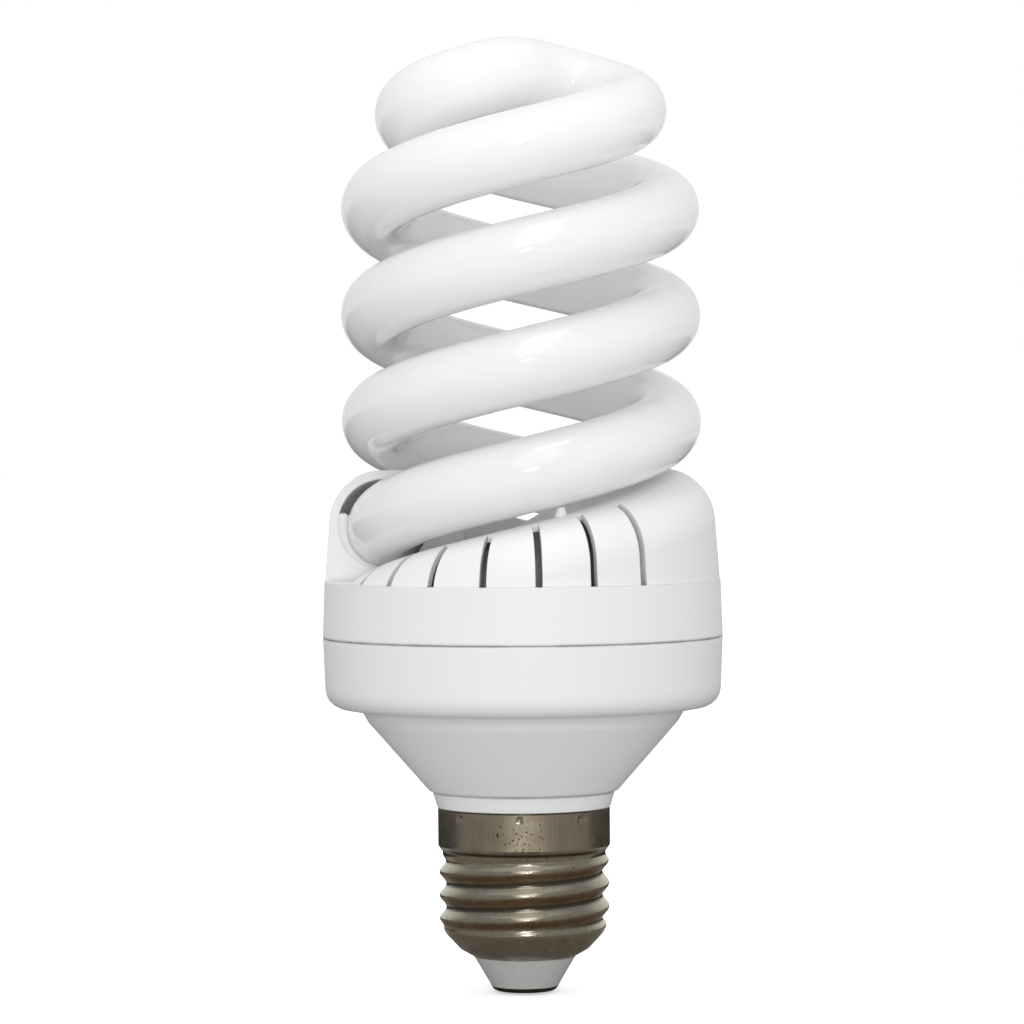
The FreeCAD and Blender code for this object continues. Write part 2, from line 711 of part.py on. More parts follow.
def strand_point(degrees):
    """Point of the strand's centre line, by the angle wound from the socket at 180 degrees."""
    pitch, total = value("Sheet.coil_pitch"), value("Sheet.coil_degrees")
    eased = min(max(degrees / value("Sheet.foot_ease"), 0), 1)
    eased = eased * eased * (3 - 2 * eased)
    foot = value("Levels.foot_r")
    radius = foot + (value("Sheet.coil_radius") - foot) * eased
    radius *= 1 - math.exp((degrees - total) / value("Sheet.crown_decay"))
    z = value("Levels.foot_z") + pitch / 360 * climb(degrees)
    angle = math.radians(180 + degrees)
    return Vector(radius * math.cos(angle), radius * math.sin(angle), z)


def strand_direction(degrees):
    """Unit tangent of the strand's centre line. The crown itself is crossed level."""
    ahead = strand_point(degrees)
    if degrees + TANGENT_STEP < value("Sheet.coil_degrees"):
        ahead = strand_point(degrees + TANGENT_STEP)
    tangent = ahead - strand_point(degrees - TANGENT_STEP)
    return tangent.normalize()


def arc_from(start, direction, end):
    """Circular edge that leaves the start along the direction and reaches the end."""
    chord = end - start
    across = direction.cross(chord).cross(direction).normalize()
    radius = chord.dot(chord) / (2 * chord.dot(across))
    centre = start + across * radius
    middle = centre + ((start + end) * 0.5 - centre).normalize() * radius
    return Part.Arc(start, middle, end).toShape()


def two_arcs(start, leaving, end, arriving):
    """Pair of tangent arcs from one point and direction to another."""
    chord, both = end - start, leaving + arriving
    square, linear = both.dot(both) - 4, -2 * chord.dot(both)
    root = math.sqrt(linear ** 2 - 4 * square * chord.dot(chord))
    reach = (-linear - root) / (2 * square)
    near, far = start + leaving * reach, end - arriving * reach
    joint = (near + far) * 0.5
    through = (far - near).normalize()
    return [arc_from(start, leaving, joint), arc_from(joint, through, end)]


def strand_edges():
    first, total = -value("Sheet.tube_tail"), value("Sheet.coil_degrees")
    crown = total - CROWN_TURN
    spans = round((crown - first) / HELIX_SPAN)
    stations = [first + (crown - first) * i / spans for i in range(spans)]
    spans = round(CROWN_TURN / CROWN_SPAN)
    stations += [crown + CROWN_TURN * i / spans for i in range(spans + 1)]
    edges = []
    for low, high in zip(stations, stations[1:]):
        edges += two_arcs(strand_point(low), strand_direction(low),
                          strand_point(high), strand_direction(high))
    return edges


rising = strand_edges()
falling = [edge.rotated(Vector(), UP, 180) for edge in reversed(rising)]
line = doc.addObject("Part::Feature", "tube_centre_line")
line.Shape = Part.Wire(Part.sortEdges(rising + falling)[0])
tail_angle = -value("Sheet.tube_tail")
tail_point, tail_direction = strand_point(tail_angle), strand_direction(tail_angle)
tube_circle = doc.addObject("Part::Circle", "tube_section")
tube_circle.Placement = Placement(tail_point, Rotation(UP, tail_direction))
tube_circle.setExpression("Radius", "Levels.tube_radius")
tube = doc.addObject("Part::Sweep", "tube_sweep")
tube.Sections = [tube_circle]
tube.Spine = (line, [f"Edge{i + 1}" for i in range(len(line.Shape.Edges))])
tube.Solid = True
doc.recompute()
end_edges = []
for number, edge in enumerate(tube.Shape.Edges, start=1):
    flat = [f for f in tube.Shape.ancestorsOfType(edge, Part.Face) if isinstance(f.Surface, Part.Plane)]
    if flat:
        end_edges.append((number, value("Sheet.tube_end_round"), value("Sheet.tube_end_round")))
rounded = doc.addObject("Part::Fillet", "tube_rounded")
rounded.Base = tube
rounded.Edges = end_edges
sub_part("spiral_tube", rounded)
section = math.pi * value("Levels.tube_radius") ** 2
print("tube length", round(line.Shape.Length, 1), "volume ratio",
      round(tube.Shape.Volume / (section * line.Shape.Length), 6))


# Socket cement: a collar of white compound that beds the tube's lower outer side

def cement_corner(centre_r, centre_z, radius, degrees):
    """Point of a circle in the socket's section, by its angle above the outward level."""
    return (f"{centre_r} + ({radius}) * cos({degrees} * 1 deg)",
            f"{centre_z} + ({radius}) * sin({degrees} * 1 deg)")


socket_place = ("Levels.socket_r", "Levels.socket_z", "(Levels.bore - Sheet.cement_fit / 2)")
cement_bore = f"(Levels.tube_radius * {slope_stretch} + Sheet.cement_fit / 2)"
tube_place = ("Levels.foot_r", "Levels.foot_z", cement_bore)
for side in range(2):
    body = doc.addObject("PartDesign::Body", f"cement_body_{side + 1}")
    sketch = new_sketch(body, f"cement_section_{side + 1}", turn="-Sheet.cement_recess * 1 deg")
    low, high = "-Sheet.cement_end", "Sheet.cement_top"
    add_outline(sketch, [
        (*cement_corner(*socket_place, low), socket_place[2], 1),
        cement_corner(*socket_place, high),
        (*cement_corner(*tube_place, high), tube_place[2], -1),
        cement_corner(*tube_place, low),
    ])
    helix(body, f"cement_{side + 1}", sketch, "Sheet.coil_pitch * Sheet.cement_sweep / 360", down=True)
    body.setExpression("Placement.Base.z", "-Sheet.coil_pitch * Sheet.cement_recess / 360")
    body.Placement = Placement(body.Placement.Base, Rotation(UP, 180 * (1 - side)))
    sub_part(f"tube_cement_{side + 1}", body)


# Ballast board parts hang below the board, and their legs pass up through its holes

BOARD_Z = "Levels.board_z"
legs = []
pins = []


def leg(name, x, y, start=BOARD_Z):
    """Wire leg from the level given up through the board, which gets a hole for it."""
    legs.append((x, y))
    height = f"Levels.board_top + Sheet.leg_proud - ({start})"
    return primitive("Cylinder", name, (x, y, start), Radius="Sheet.leg_radius", Height=height)


def legged(label, body, spots, start=BOARD_Z):
    """Piece made of a body and its legs."""
    wires = [leg(f"{label}_leg_{i + 1}", x, y, start) for i, (x, y) in enumerate(spots)]
    return sub_part(label, fuse(label + "_whole", [body] + wires))


def placed_body(name, x, y, z=BOARD_Z):
    body = doc.addObject("PartDesign::Body", name)
    for axis, expression in zip("xyz", (x, y, z)):
        body.setExpression("Placement.Base." + axis, expression)
    return body


# Bulk capacitor, standing down into the neck of the cup

body = placed_body("bulk_body", "0", "0")
revolve(body, "bulk_can", [
    ("0", "-Sheet.bulk_length"),
    ("Sheet.bulk_radius - Sheet.bulk_round", "-Sheet.bulk_length", "Sheet.bulk_round", 1),
    ("Sheet.bulk_radius", "-Sheet.bulk_length + Sheet.bulk_round"),
    ("Sheet.bulk_radius", "0"),
    ("0", "0"),
])
legged("bulk_capacitor", body, [("Sheet.bulk_leg_spacing / 2", "0"), ("-Sheet.bulk_leg_spacing / 2", "0")])

# Choke: ferrite core with two windows, a moulded bobbin round its post, and the winding

choke = ("Sheet.choke_x", "Sheet.choke_y")
core_low = f"({BOARD_Z} - Sheet.core_height)"
window_low = f"({core_low} + Sheet.core_yoke)"
window_height = "(Sheet.core_height - 2 * Sheet.core_yoke)"
window_span = "(Sheet.core_width - 2 * Sheet.core_side)"
post_width = "(Sheet.core_post + 2 * Sheet.bobbin_gap)"
post_depth = "(Sheet.core_depth + 2 * Sheet.bobbin_gap)"
tube_width = f"({post_width} + 2 * Sheet.bobbin_wall)"
tube_depth = f"({post_depth} + 2 * Sheet.bobbin_wall)"
bobbin_low = f"({window_low} + Sheet.bobbin_gap)"
bobbin_height = f"({window_height} - 2 * Sheet.bobbin_gap)"
flange_width = f"({window_span} - 2 * Sheet.bobbin_gap)"
winding_low = f"({bobbin_low} + Sheet.bobbin_wall)"
winding_height = f"({bobbin_height} - 2 * Sheet.bobbin_wall)"
winding_width = f"({flange_width} - 2 * Sheet.winding_margin)"
winding_depth = "(Sheet.bobbin_depth - 2 * Sheet.winding_margin)"

block = centred_box("core_block", *choke, core_low,
                    "Sheet.core_width", "Sheet.core_depth", "Sheet.core_height")
window = centred_box("core_window", *choke, window_low,
                     window_span, "2 * Sheet.core_depth", window_height)
post = centred_box("core_post", *choke, core_low,
                   "Sheet.core_post", "Sheet.core_depth", "Sheet.core_height")
sub_part("choke_core", fuse("core_whole", [cut("core_frame", block, window), post]))

reel = centred_box("bobbin_tube", *choke, bobbin_low, tube_width, tube_depth, bobbin_height)
flanges = []
for name, low in (("low", bobbin_low), ("high", f"{bobbin_low} + {bobbin_height} - Sheet.bobbin_wall")):
    flanges.append(centred_box(f"bobbin_flange_{name}", *choke, low, flange_width,
                               "Sheet.bobbin_depth", "Sheet.bobbin_wall"))
post_hole = centred_box("bobbin_hole", *choke, core_low, post_width, post_depth, "Sheet.core_height")
bobbin = cut("bobbin_hollow", fuse("bobbin_solid", [reel] + flanges), post_hole)
corners = [(f"Sheet.choke_x + {i} * Sheet.choke_pin_x", f"Sheet.choke_y + {j} * Sheet.choke_pin_y")
           for i in (-1, 1) for j in (-1, 1)]
legged("choke_bobbin", bobbin, corners, f"{bobbin_low} + {bobbin_height}")

coil = centred_box("winding_block", *choke, winding_low, winding_width, winding_depth, winding_height)
coil_hole = centred_box("winding_hole", *choke, winding_low, tube_width, tube_depth, winding_height)
sub_part("choke_winding", cut("winding_ring", coil, coil_hole))


# Feedback transformer: a small ferrite ring with a few turns of wire round it

toroid_z = f"({BOARD_Z} - Sheet.toroid_standoff - Sheet.toroid_height)"
toroid_place = ("Sheet.toroid_x", "Sheet.toroid_y", toroid_z)
toroid_high = "Sheet.toroid_height"
disc = primitive("Cylinder", "toroid_disc", toroid_place, Radius="Sheet.toroid_outer", Height=toroid_high)
eye = primitive("Cylinder", "toroid_eye", toroid_place, Radius="Sheet.toroid_inner", Height=toroid_high)
sub_part("feedback_ring", cut("toroid_core", disc, eye))


def toroid_turn(number):
    """One rectangular turn round the ring's section. Every other turn has a leg."""
    wire, gap = value("Sheet.toroid_wire"), value("Sheet.toroid_wire_gap")
    inner, outer = value("Sheet.toroid_inner") - gap, value("Sheet.toroid_outer") + gap
    low, high = value(toroid_z) - gap, value(toroid_z) + value("Sheet.toroid_height") + gap
    outside = Part.makeBox(outer - inner + 2 * wire, wire, high - low + 2 * wire,
                           Vector(inner - wire, -wire / 2, low - wire))
    inside = Part.makeBox(outer - inner, wire, high - low, Vector(inner, -wire / 2, low))
    loop = outside.cut(inside)
    angle = 360 * number / value("Sheet.toroid_turns")
    spot = Vector(outer + wire / 2, 0, 0)
    if number % 2 == 0:
        top = value("Levels.board_top + Sheet.leg_proud")
        stem = Part.makeCylinder(value("Sheet.leg_radius"), top - low, Vector(spot.x, 0, low))
        loop = loop.fuse(stem)
        spot = Rotation(UP, angle).multVec(spot)
        legs.append((f"Sheet.toroid_x + {spot.x}", f"Sheet.toroid_y + {spot.y}"))
    loop.rotate(Vector(), UP, angle)
    loop.translate(Vector(value("Sheet.toroid_x"), value("Sheet.toroid_y"), 0))
    return loop


turns = doc.addObject("Part::Feature", "toroid_turns_wire")
turns.Shape = Part.makeCompound([toroid_turn(i) for i in range(round(value("Sheet.toroid_turns")))])
sub_part("feedback_winding", turns)

# Two switching transistors, standing on their legs

for number, y in enumerate(("Sheet.transistor_low_y", "Sheet.transistor_high_y"), start=1):
    x = "Sheet.transistor_x"
    low = f"({BOARD_Z} - Sheet.transistor_standoff - Sheet.transistor_body)"
    slab = centred_box(f"transistor_slab_{number}", x, y, low, "Sheet.transistor_thickness",
                       "Sheet.transistor_width", "Sheet.transistor_body")
    hole = primitive("Cylinder", f"transistor_hole_{number}",
                     (f"{x} - Sheet.transistor_thickness", y,
                      f"{BOARD_Z} - Sheet.transistor_standoff - Sheet.transistor_hole_drop"),
                     Rotation(Vector(0, 1, 0), 90), Radius="Sheet.transistor_hole",
                     Height="2 * Sheet.transistor_thickness")
    spots = [(x, f"{y} + {i} * Sheet.transistor_leg_spacing") for i in (-1, 0, 1)]
    legged(f"transistor_{number}", cut(f"transistor_body_{number}", slab, hole), spots,
           f"{BOARD_Z} - Sheet.transistor_standoff")


# Axial parts lie against the board on bent legs

def axial(label, x, y, radius, length):
    """Cylinder along X with a leg bent up at each end."""
    z = f"({BOARD_Z} - {radius})"
    along = Rotation(Vector(0, 1, 0), 90)
    reach = f"({length} / 2 + Sheet.axial_stub)"
    can = primitive("Cylinder", label + "_can", (f"{x} - {length} / 2", y, z), along,
                    Radius=radius, Height=length)
    stub = primitive("Cylinder", label + "_stub", (f"{x} - {reach}", y, z), along,
                     Radius="Sheet.leg_radius", Height=f"2 * {reach}")
    ends = [f"{x} - {reach}", f"{x} + {reach}"]
    elbows = [primitive("Sphere", f"{label}_elbow_{i}", (end, y, z), Radius="Sheet.leg_radius")
              for i, end in enumerate(ends)]
    solid = fuse(label + "_body", [can, stub] + elbows)
    legged(label, solid, [(end, y) for end in ends], z)


ROW_OF_FOUR = (-1.5, -0.5, 0.5, 1.5)
for number, place in enumerate(ROW_OF_FOUR, start=1):
    axial(f"rectifier_diode_{number}", "Sheet.diode_x", f"{place} * Sheet.diode_step",
          "Sheet.diode_radius", "Sheet.diode_length")
    axial(f"resistor_{number}", "Sheet.resistor_x", f"{place} * Sheet.resistor_step",
          "Sheet.resistor_radius", "Sheet.resistor_length")
axial("fuse_resistor", "Sheet.fuse_x", "Sheet.fuse_y", "Sheet.fuse_radius", "Sheet.fuse_length")
axial("trigger_diode", "Sheet.diac_x", "Sheet.diac_y", "Sheet.diac_radius", "Sheet.diac_length")

# Film capacitors: dipped blocks with rounded edges

for name in ("resonant", "coupling", "starter"):
    x, y = f"Sheet.{name}_x", f"Sheet.{name}_y"
    width, depth = f"Sheet.{name}_width / 2", f"Sheet.{name}_depth / 2"
    body = placed_body(name + "_body", x, y)
    sketch = outline(body, name + "_plan", [
        (f"-{width}", f"-{depth}"), (width, f"-{depth}"), (width, depth), (f"-{width}", depth),
    ], plane="XY_Plane")
    pad = body.newObject("PartDesign::Pad", name + "_block")
    pad.Profile = sketch
    pad.Reversed = True
    pad.setExpression("Length", f"Sheet.{name}_height")
    doc.recompute()
    soft = body.newObject("PartDesign::Fillet", name + "_round")
    soft.Base = (pad, [f"Edge{i + 1}" for i in range(len(pad.Shape.Edges))])
    soft.setExpression("Radius", "Sheet.film_round")
    legged(name + "_capacitor", body, [(f"{x} - {width} / 2", y), (f"{x} + {width} / 2", y)])

# Mains filter coil: a ferrite drum and its winding

filter_waist = "Sheet.filter_height - Sheet.filter_flange"
body = placed_body("filter_drum", "Sheet.filter_x", "Sheet.filter_y")
revolve(body, "drum", [
    ("0", "-Sheet.filter_height"),
    ("Sheet.filter_radius", "-Sheet.filter_height"),
    ("Sheet.filter_radius", f"-({filter_waist})"),
    ("Sheet.filter_post", f"-({filter_waist})"),
    ("Sheet.filter_post", "-Sheet.filter_flange"),
    ("Sheet.filter_radius", "-Sheet.filter_flange"),
    ("Sheet.filter_radius", "0"),
    ("0", "0"),
])
legged("filter_core", body, [("Sheet.filter_x - Sheet.filter_post", "Sheet.filter_y"),
                             ("Sheet.filter_x + Sheet.filter_post", "Sheet.filter_y")])
body = placed_body("filter_coil", "Sheet.filter_x", "Sheet.filter_y")
revolve(body, "coil", [
    ("Sheet.filter_post", f"-({filter_waist})"),
    ("Sheet.filter_radius - Sheet.filter_margin", f"-({filter_waist})"),
    ("Sheet.filter_radius - Sheet.filter_margin", "-Sheet.filter_flange"),
    ("Sheet.filter_post", "-Sheet.filter_flange"),
])
sub_part("filter_winding", body)

# Thermistor disc, on edge

disc_z = f"({BOARD_Z} - Sheet.thermistor_standoff - Sheet.thermistor_radius)"
disc = primitive("Cylinder", "thermistor_disc",
                 ("Sheet.thermistor_x", "Sheet.thermistor_y + Sheet.thermistor_thickness / 2", disc_z),
                 Rotation(Vector(1, 0, 0), 90), Radius="Sheet.thermistor_radius",
                 Height="Sheet.thermistor_thickness")
legged("thermistor", disc, [("Sheet.thermistor_x - Sheet.thermistor_radius / 2", "Sheet.thermistor_y"),
                            ("Sheet.thermistor_x + Sheet.thermistor_radius / 2", "Sheet.thermistor_y")],
       disc_z)


# Wires: straight runs joined by tangent arcs

def bent_wire(points, radius, bend):
    """Round wire through the points, with its corners bent to the radius given."""
    edges, start = [], points[0]
    for before, corner, after in zip(points, points[1:], points[2:]):
        back, on = (before - corner).normalize(), (after - corner).normalize()
        half = math.acos(max(-1, min(1, back.dot(on)))) / 2
        tangent = bend / math.tan(half)
        middle = (back + on).normalize()
        mid_point = corner + middle * (bend / math.sin(half) - bend)
        edges.append(Part.LineSegment(start, corner + back * tangent).toShape())
        edges.append(Part.Arc(corner + back * tangent, mid_point, corner + on * tangent).toShape())
        start = corner + on * tangent
    edges.append(Part.LineSegment(start, points[-1]).toShape())
    spine = Part.Wire(edges)
    circle = Part.Circle(points[0], points[1] - points[0], radius)
    return spine.makePipe(Part.Face(Part.Wire(circle.toShape())))


def wire_part(label, points, radius, bend):
    wire = doc.addObject("Part::Feature", label + "_run")
    wire.Shape = bent_wire(points, radius, bend)
    sub_part(label, wire)


# Four leads come out of the sealed tube ends, each down to its own pin on the board

outward = tail_direction * -1
sideways = outward.cross(UP).normalize()
for end in range(2):
    for side in range(2):
        offset = sideways * (value("Sheet.lead_spacing") * (side - 0.5))
        seal = tail_point + offset
        knee = seal + outward * value("Sheet.lead_reach")
        foot = Vector(knee.x, knee.y, value("Levels.pin_top"))
        turned = [Rotation(UP, 180 * end).multVec(p) for p in (seal, knee, foot)]
        number = 2 * end + side + 1
        wire_part(f"tube_lead_{number}", turned, value("Sheet.wire_radius"), value("Sheet.lead_bend"))
        x, y = turned[2].x, turned[2].y
        pin = centred_box(f"pin_post_{number}", str(x), str(y), f"{BOARD_Z} - Sheet.leg_proud",
                          "Sheet.pin_width", "Sheet.pin_width",
                          "Levels.pin_top - Levels.board_z + Sheet.leg_proud")
        pins.append((str(x), str(y)))
        sub_part(f"wrap_pin_{number}", pin)

# Live wire to the contact pin, neutral wire to the inside of the shell

across = value("Levels.mains_wire_out") * math.sqrt(0.5)
board_level = value(BOARD_Z)
pin_level = value("Levels.contact_pin_top")
crossing = pin_level + value("Sheet.mains_rise")
live = Vector(across, -across, board_level)
wire_part("live_lead", [
    live,
    Vector(live.x, live.y, crossing),
    Vector(0, 0, crossing),
    Vector(0, 0, pin_level),
], value("Sheet.mains_wire_radius"), value("Sheet.mains_bend"))
neutral = Vector(-across, -across, board_level)
shell_touch = value("Levels.plug_radius - Sheet.mains_wire_radius")
neutral_low = value("Levels.plug_end - Sheet.mains_turn_in")
outside = Vector(neutral.x, neutral.y, 0).normalize() * shell_touch
wire_part("neutral_lead", [
    neutral,
    Vector(neutral.x, neutral.y, neutral_low),
    Vector(outside.x, outside.y, neutral_low),
], value("Sheet.mains_wire_radius"), value("Sheet.mains_wire_radius"))

# Circuit board: a disc drilled for every leg, clamped between the cup's shelf and the cover

disc = primitive("Cylinder", "board_disc", ("0", "0", BOARD_Z), Radius="Levels.board_radius",
                 Height="Sheet.board_thickness")
drilled = []
leg_hole = "Sheet.leg_radius + Sheet.leg_hole_fit"
pin_hole = "Sheet.pin_width * sqrt(0.5) + Sheet.leg_hole_fit"
for spots, radius in ((legs, leg_hole), (pins, pin_hole)):
    for x, y in spots:
        drilled.append(primitive("Cylinder", "drill", (x, y, f"{BOARD_Z} - Sheet.board_thickness"),
                                 Radius=radius, Height="3 * Sheet.board_thickness"))
drills = doc.addObject("Part::Compound", "board_drills")
drills.Links = drilled
sub_part("circuit_board", cut("board_drilled", disc, drills))

# Checks and files

doc.recompute()
faulty = [o.Name for o in doc.Objects if {"Invalid", "Error"} & set(o.State)]
faulty += [label for label, o in parts.items() if o.Shape.isNull() or not o.Shape.isValid()]
if faulty:
    raise RuntimeError("not built: " + ", ".join(faulty))
os.makedirs("parts", exist_ok=True)
for label, obj in parts.items():
    obj.Shape.exportStep(f"parts/{label}.step")
print(len(parts), "pieces written")
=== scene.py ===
# %% [markdown]
# # A spiral energy saving lamp
# The lamp is one white glass tube wound as a double spiral, on a vented plastic housing with a
# screw cap below. A solid model of every piece is already there at its real size. This lesson
# keeps that model in place and gives it the surfaces of the real lamp. It starts by loading the
# model.

# %% Load the solid model
import math

import bpy
import numpy as np
from mathutils import Matrix


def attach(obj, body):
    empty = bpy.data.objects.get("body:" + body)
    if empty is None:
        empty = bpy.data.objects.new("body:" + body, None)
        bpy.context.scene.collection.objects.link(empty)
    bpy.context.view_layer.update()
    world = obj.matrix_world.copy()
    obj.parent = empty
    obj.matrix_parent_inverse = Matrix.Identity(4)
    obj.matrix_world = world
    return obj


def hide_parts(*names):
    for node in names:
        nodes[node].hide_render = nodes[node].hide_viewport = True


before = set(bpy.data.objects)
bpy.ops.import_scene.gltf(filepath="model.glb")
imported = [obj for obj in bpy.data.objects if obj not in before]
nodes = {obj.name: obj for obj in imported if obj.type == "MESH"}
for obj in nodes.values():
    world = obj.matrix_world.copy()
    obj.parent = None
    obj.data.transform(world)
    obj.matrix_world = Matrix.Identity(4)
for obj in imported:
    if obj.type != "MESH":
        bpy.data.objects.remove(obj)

# sizes of the lamp are in millimetres below, and those of table, lights and camera in metres
MM = 0.001
scene = bpy.context.scene
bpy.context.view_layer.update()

# %% [markdown]
# ## Helpers for node trees
# Surfaces and swept shapes are both described by trees of nodes. One small function adds a node of
# any kind, sets it up and joins its inputs, so that each tree below reads from top to bottom, and
# one more adds a sum. Colours are written as the sRGB values that a colour picker shows, and the
# renderer works in linear light, so one function turns the one into the other.

# %% Helpers for node trees and colours
def feed(tree, node, inputs):
    """Set or link the inputs of a node."""
    for key, value in inputs.items():
        if isinstance(value, bpy.types.NodeSocket):
            tree.links.new(value, node.inputs[key])
        else:
            node.inputs[key].default_value = value


def add(tree, kind, settings, inputs):
    """Add a node with its settings, then feed it."""
    node = tree.nodes.new(kind)
    for name, value in settings.items():
        setattr(node, name, value)
    feed(tree, node, inputs)
    return node


def maths(tree, operation, *terms):
    """Result of one sum in a tree."""
    node = add(tree, "ShaderNodeMath", {"operation": operation}, dict(enumerate(terms)))
    return node.outputs[0]


def linear(code):
    """Linear colour of an sRGB code such as #EAEAEA."""
    shares = [int(code[start:start + 2], 16) / 255 for start in (1, 3, 5)]
    curve = [s / 12.92 if s <= 0.04045 else ((s + 0.055) / 1.055) ** 2.4 for s in shares]
    return (*curve, 1)


def new_material(name):
    """Empty material with its node tree and its shader."""
    material = bpy.data.materials.new(name)
    material.use_nodes = True
    return material, material.node_tree, material.node_tree.nodes["Principled BSDF"]


print("white plastic in linear light", [round(c, 3) for c in linear("#EAEAEA")])

# %% [markdown]
# ## The glass of the tube
# The tube is clear glass with a white powder baked on its inside. The eye sees a bright matt white
# under a smooth clear skin, so the base is white and the gloss on it is sharp. Light goes a little
# way through the powder, which softens the shading. Where the clear wall is seen edge on, a thin
# grey rim of painted shade is laid on the colour. Glass that was bent hot is never quite even, so a
# slow ripple lets the reflections swim a little.

# %% Coated glass
POWDER_CLOUD = 14
GLASS_RIPPLE = 9
RIPPLE_DEPTH = 0.25
LIGHT_DEPTH = 20


def coated_glass():
    """Powder-coated glass: soft white in the depth, sharp gloss on top, painted grey shade where
    seen edge on.
    """
    material, tree, shader = new_material("phosphor_coated_glass")
    place = add(tree, "ShaderNodeTexCoord", {}, {}).outputs["Object"]
    cloud = add(tree, "ShaderNodeTexNoise", {}, {
        "Vector": place, "Scale": 1 / (POWDER_CLOUD * MM), "Detail": 2, "Roughness": 0.4})
    ripple = add(tree, "ShaderNodeTexNoise", {}, {
        "Vector": place, "Scale": 1 / (GLASS_RIPPLE * MM), "Detail": 1, "Roughness": 0.3})
    powder = add(tree, "ShaderNodeMix", {"data_type": "RGBA"}, {
        0: cloud.outputs["Fac"], 6: linear("#F2F2F2"), 7: linear("#F9F9F9")})
    # painted shade: the colour turns grey where the tube is seen edge on
    edge_on = add(tree, "ShaderNodeLayerWeight", {}, {"Blend": 0.2}).outputs["Facing"]
    rim = add(tree, "ShaderNodeMapRange", {}, {0: edge_on, 1: 0.4, 2: 0.8, 3: 0.0, 4: 0.45})
    rim_shaded = add(tree, "ShaderNodeMix", {"data_type": "RGBA"}, {
        0: rim.outputs[0], 6: powder.outputs[2], 7: linear("#ACACAC")})
    bump = add(tree, "ShaderNodeBump", {}, {
        "Height": ripple.outputs["Fac"], "Strength": 0.5, "Distance": RIPPLE_DEPTH * MM})
    feed(tree, shader, {
        "Base Color": rim_shaded.outputs[2], "Normal": bump.outputs["Normal"],
        "Roughness": 0.09, "IOR": 1.52, "Subsurface Weight": 1.0,
        "Subsurface Radius": (1, 1, 1), "Subsurface Scale": LIGHT_DEPTH * MM})
    return material


glass = coated_glass()
print("material", glass.name)

# %% [markdown]
# ## The spiral tube
# On the real lamp a straight tube is heated, bent in the middle and wound on a former from the
# middle outwards, so two strands climb side by side and meet at the crown. A modelled spiral could
# be drawn by hand with a screw tool, but it would miss the way the strands close in at the top. So
# one strand follows a rule: it leaves its socket at a slightly smaller radius, eases out to the
# coil, climbs evenly, and near the top winds in and flattens until it crosses the axis level. The
# other strand is the same one turned half a turn.

# %% Centre line of the tube
TUBE_RADIUS = 5.69
TUBE_END_ROUND = 2.5
COIL_RADIUS = 22.0
COIL_PITCH = 32.8
COIL_DEGREES = 775
TAIL_DEGREES = 35
EASE_OUT_DEGREES = 180
FOOT_ANGLE = 180
FOOT_RADIUS = 21.3
FOOT_HEIGHT = 71.558
CROWN_DECAY = 45
CROWN_EASE = 14


def climb(degrees):
    """Turn that the strand has climbed for. It levels out just before the axis."""
    over = np.maximum(degrees - COIL_DEGREES + CROWN_EASE, 0)
    return degrees - over ** 2 / (2 * CROWN_EASE)


def strand():
    """Points of one strand in millimetres, from its end in the socket up to the axis."""
    degrees = np.arange(-TAIL_DEGREES, COIL_DEGREES + 1, 1.0)
    out = np.clip(degrees / EASE_OUT_DEGREES, 0, 1)
    radius = FOOT_RADIUS + (COIL_RADIUS - FOOT_RADIUS) * out ** 2 * (3 - 2 * out)
    radius *= 1 - np.exp((degrees - COIL_DEGREES) / CROWN_DECAY)
    angle = np.radians(FOOT_ANGLE + degrees)
    height = FOOT_HEIGHT + COIL_PITCH / 360 * climb(degrees)
    return np.column_stack([radius * np.cos(angle), radius * np.sin(angle), height])


def chain(name, points, widths):
    """Chain of edges through the points, in metres, with a share of the width at each point."""
    mesh = bpy.data.meshes.new(name)
    mesh.from_pydata((points * MM).tolist(), [(i, i + 1) for i in range(len(points) - 1)], [])
    mesh.attributes.new("width", "FLOAT", "POINT").data.foreach_set("value", widths)
    line = bpy.data.objects.new(name, mesh)
    scene.collection.objects.link(line)
    return line


first = strand()
second = first[-2::-1] * [-1, -1, 1]
centre_line = np.vstack([first, second])
tube_length = np.linalg.norm(np.diff(centre_line, axis=0), axis=1).sum()
print("tube length", round(tube_length), "mm, crown at", round(centre_line[:, 2].max(), 2), "mm")

# %% [markdown]
# ## From the line to the tube
# A round section is swept along the line by a tree of geometry nodes, so the thickness, the rings
# and the rounding of the sealed ends are inputs that can be changed later. The two ends are hidden
# in their sockets, and the sweep draws them in to a small round. When the tree has run, the result
# is kept as a plain mesh.

# %% Sweep the tube
RING_SPACING = 0.8
TUBE_SIDES = 56


def rule_tree(name, sockets):
    """Geometry tree with named inputs. Gives the tree, its input node and its output node."""
    tree = bpy.data.node_groups.new(name, "GeometryNodeTree")
    tree.interface.new_socket("Geometry", in_out="INPUT", socket_type="NodeSocketGeometry")
    tree.interface.new_socket("Geometry", in_out="OUTPUT", socket_type="NodeSocketGeometry")
    for label, kind in sockets.items():
        tree.interface.new_socket(label, in_out="INPUT", socket_type=kind)
    return tree, add(tree, "NodeGroupInput", {}, {}), add(tree, "NodeGroupOutput", {}, {})


def run_rule(name, source, tree, values):
    """Run a tree on an object and keep the result as a plain mesh under a new name."""
    modifier = source.modifiers.new("rule", "NODES")
    modifier.node_group = tree
    for item in tree.interface.items_tree:
        if item.in_out == "INPUT" and item.name in values:
            modifier[item.identifier] = values[item.name]
    shaped = source.evaluated_get(bpy.context.evaluated_depsgraph_get())
    piece = bpy.data.objects.new(name, bpy.data.meshes.new_from_object(shaped))
    source.modifiers.remove(modifier)
    bpy.data.objects.remove(source)
    scene.collection.objects.link(piece)
    return piece


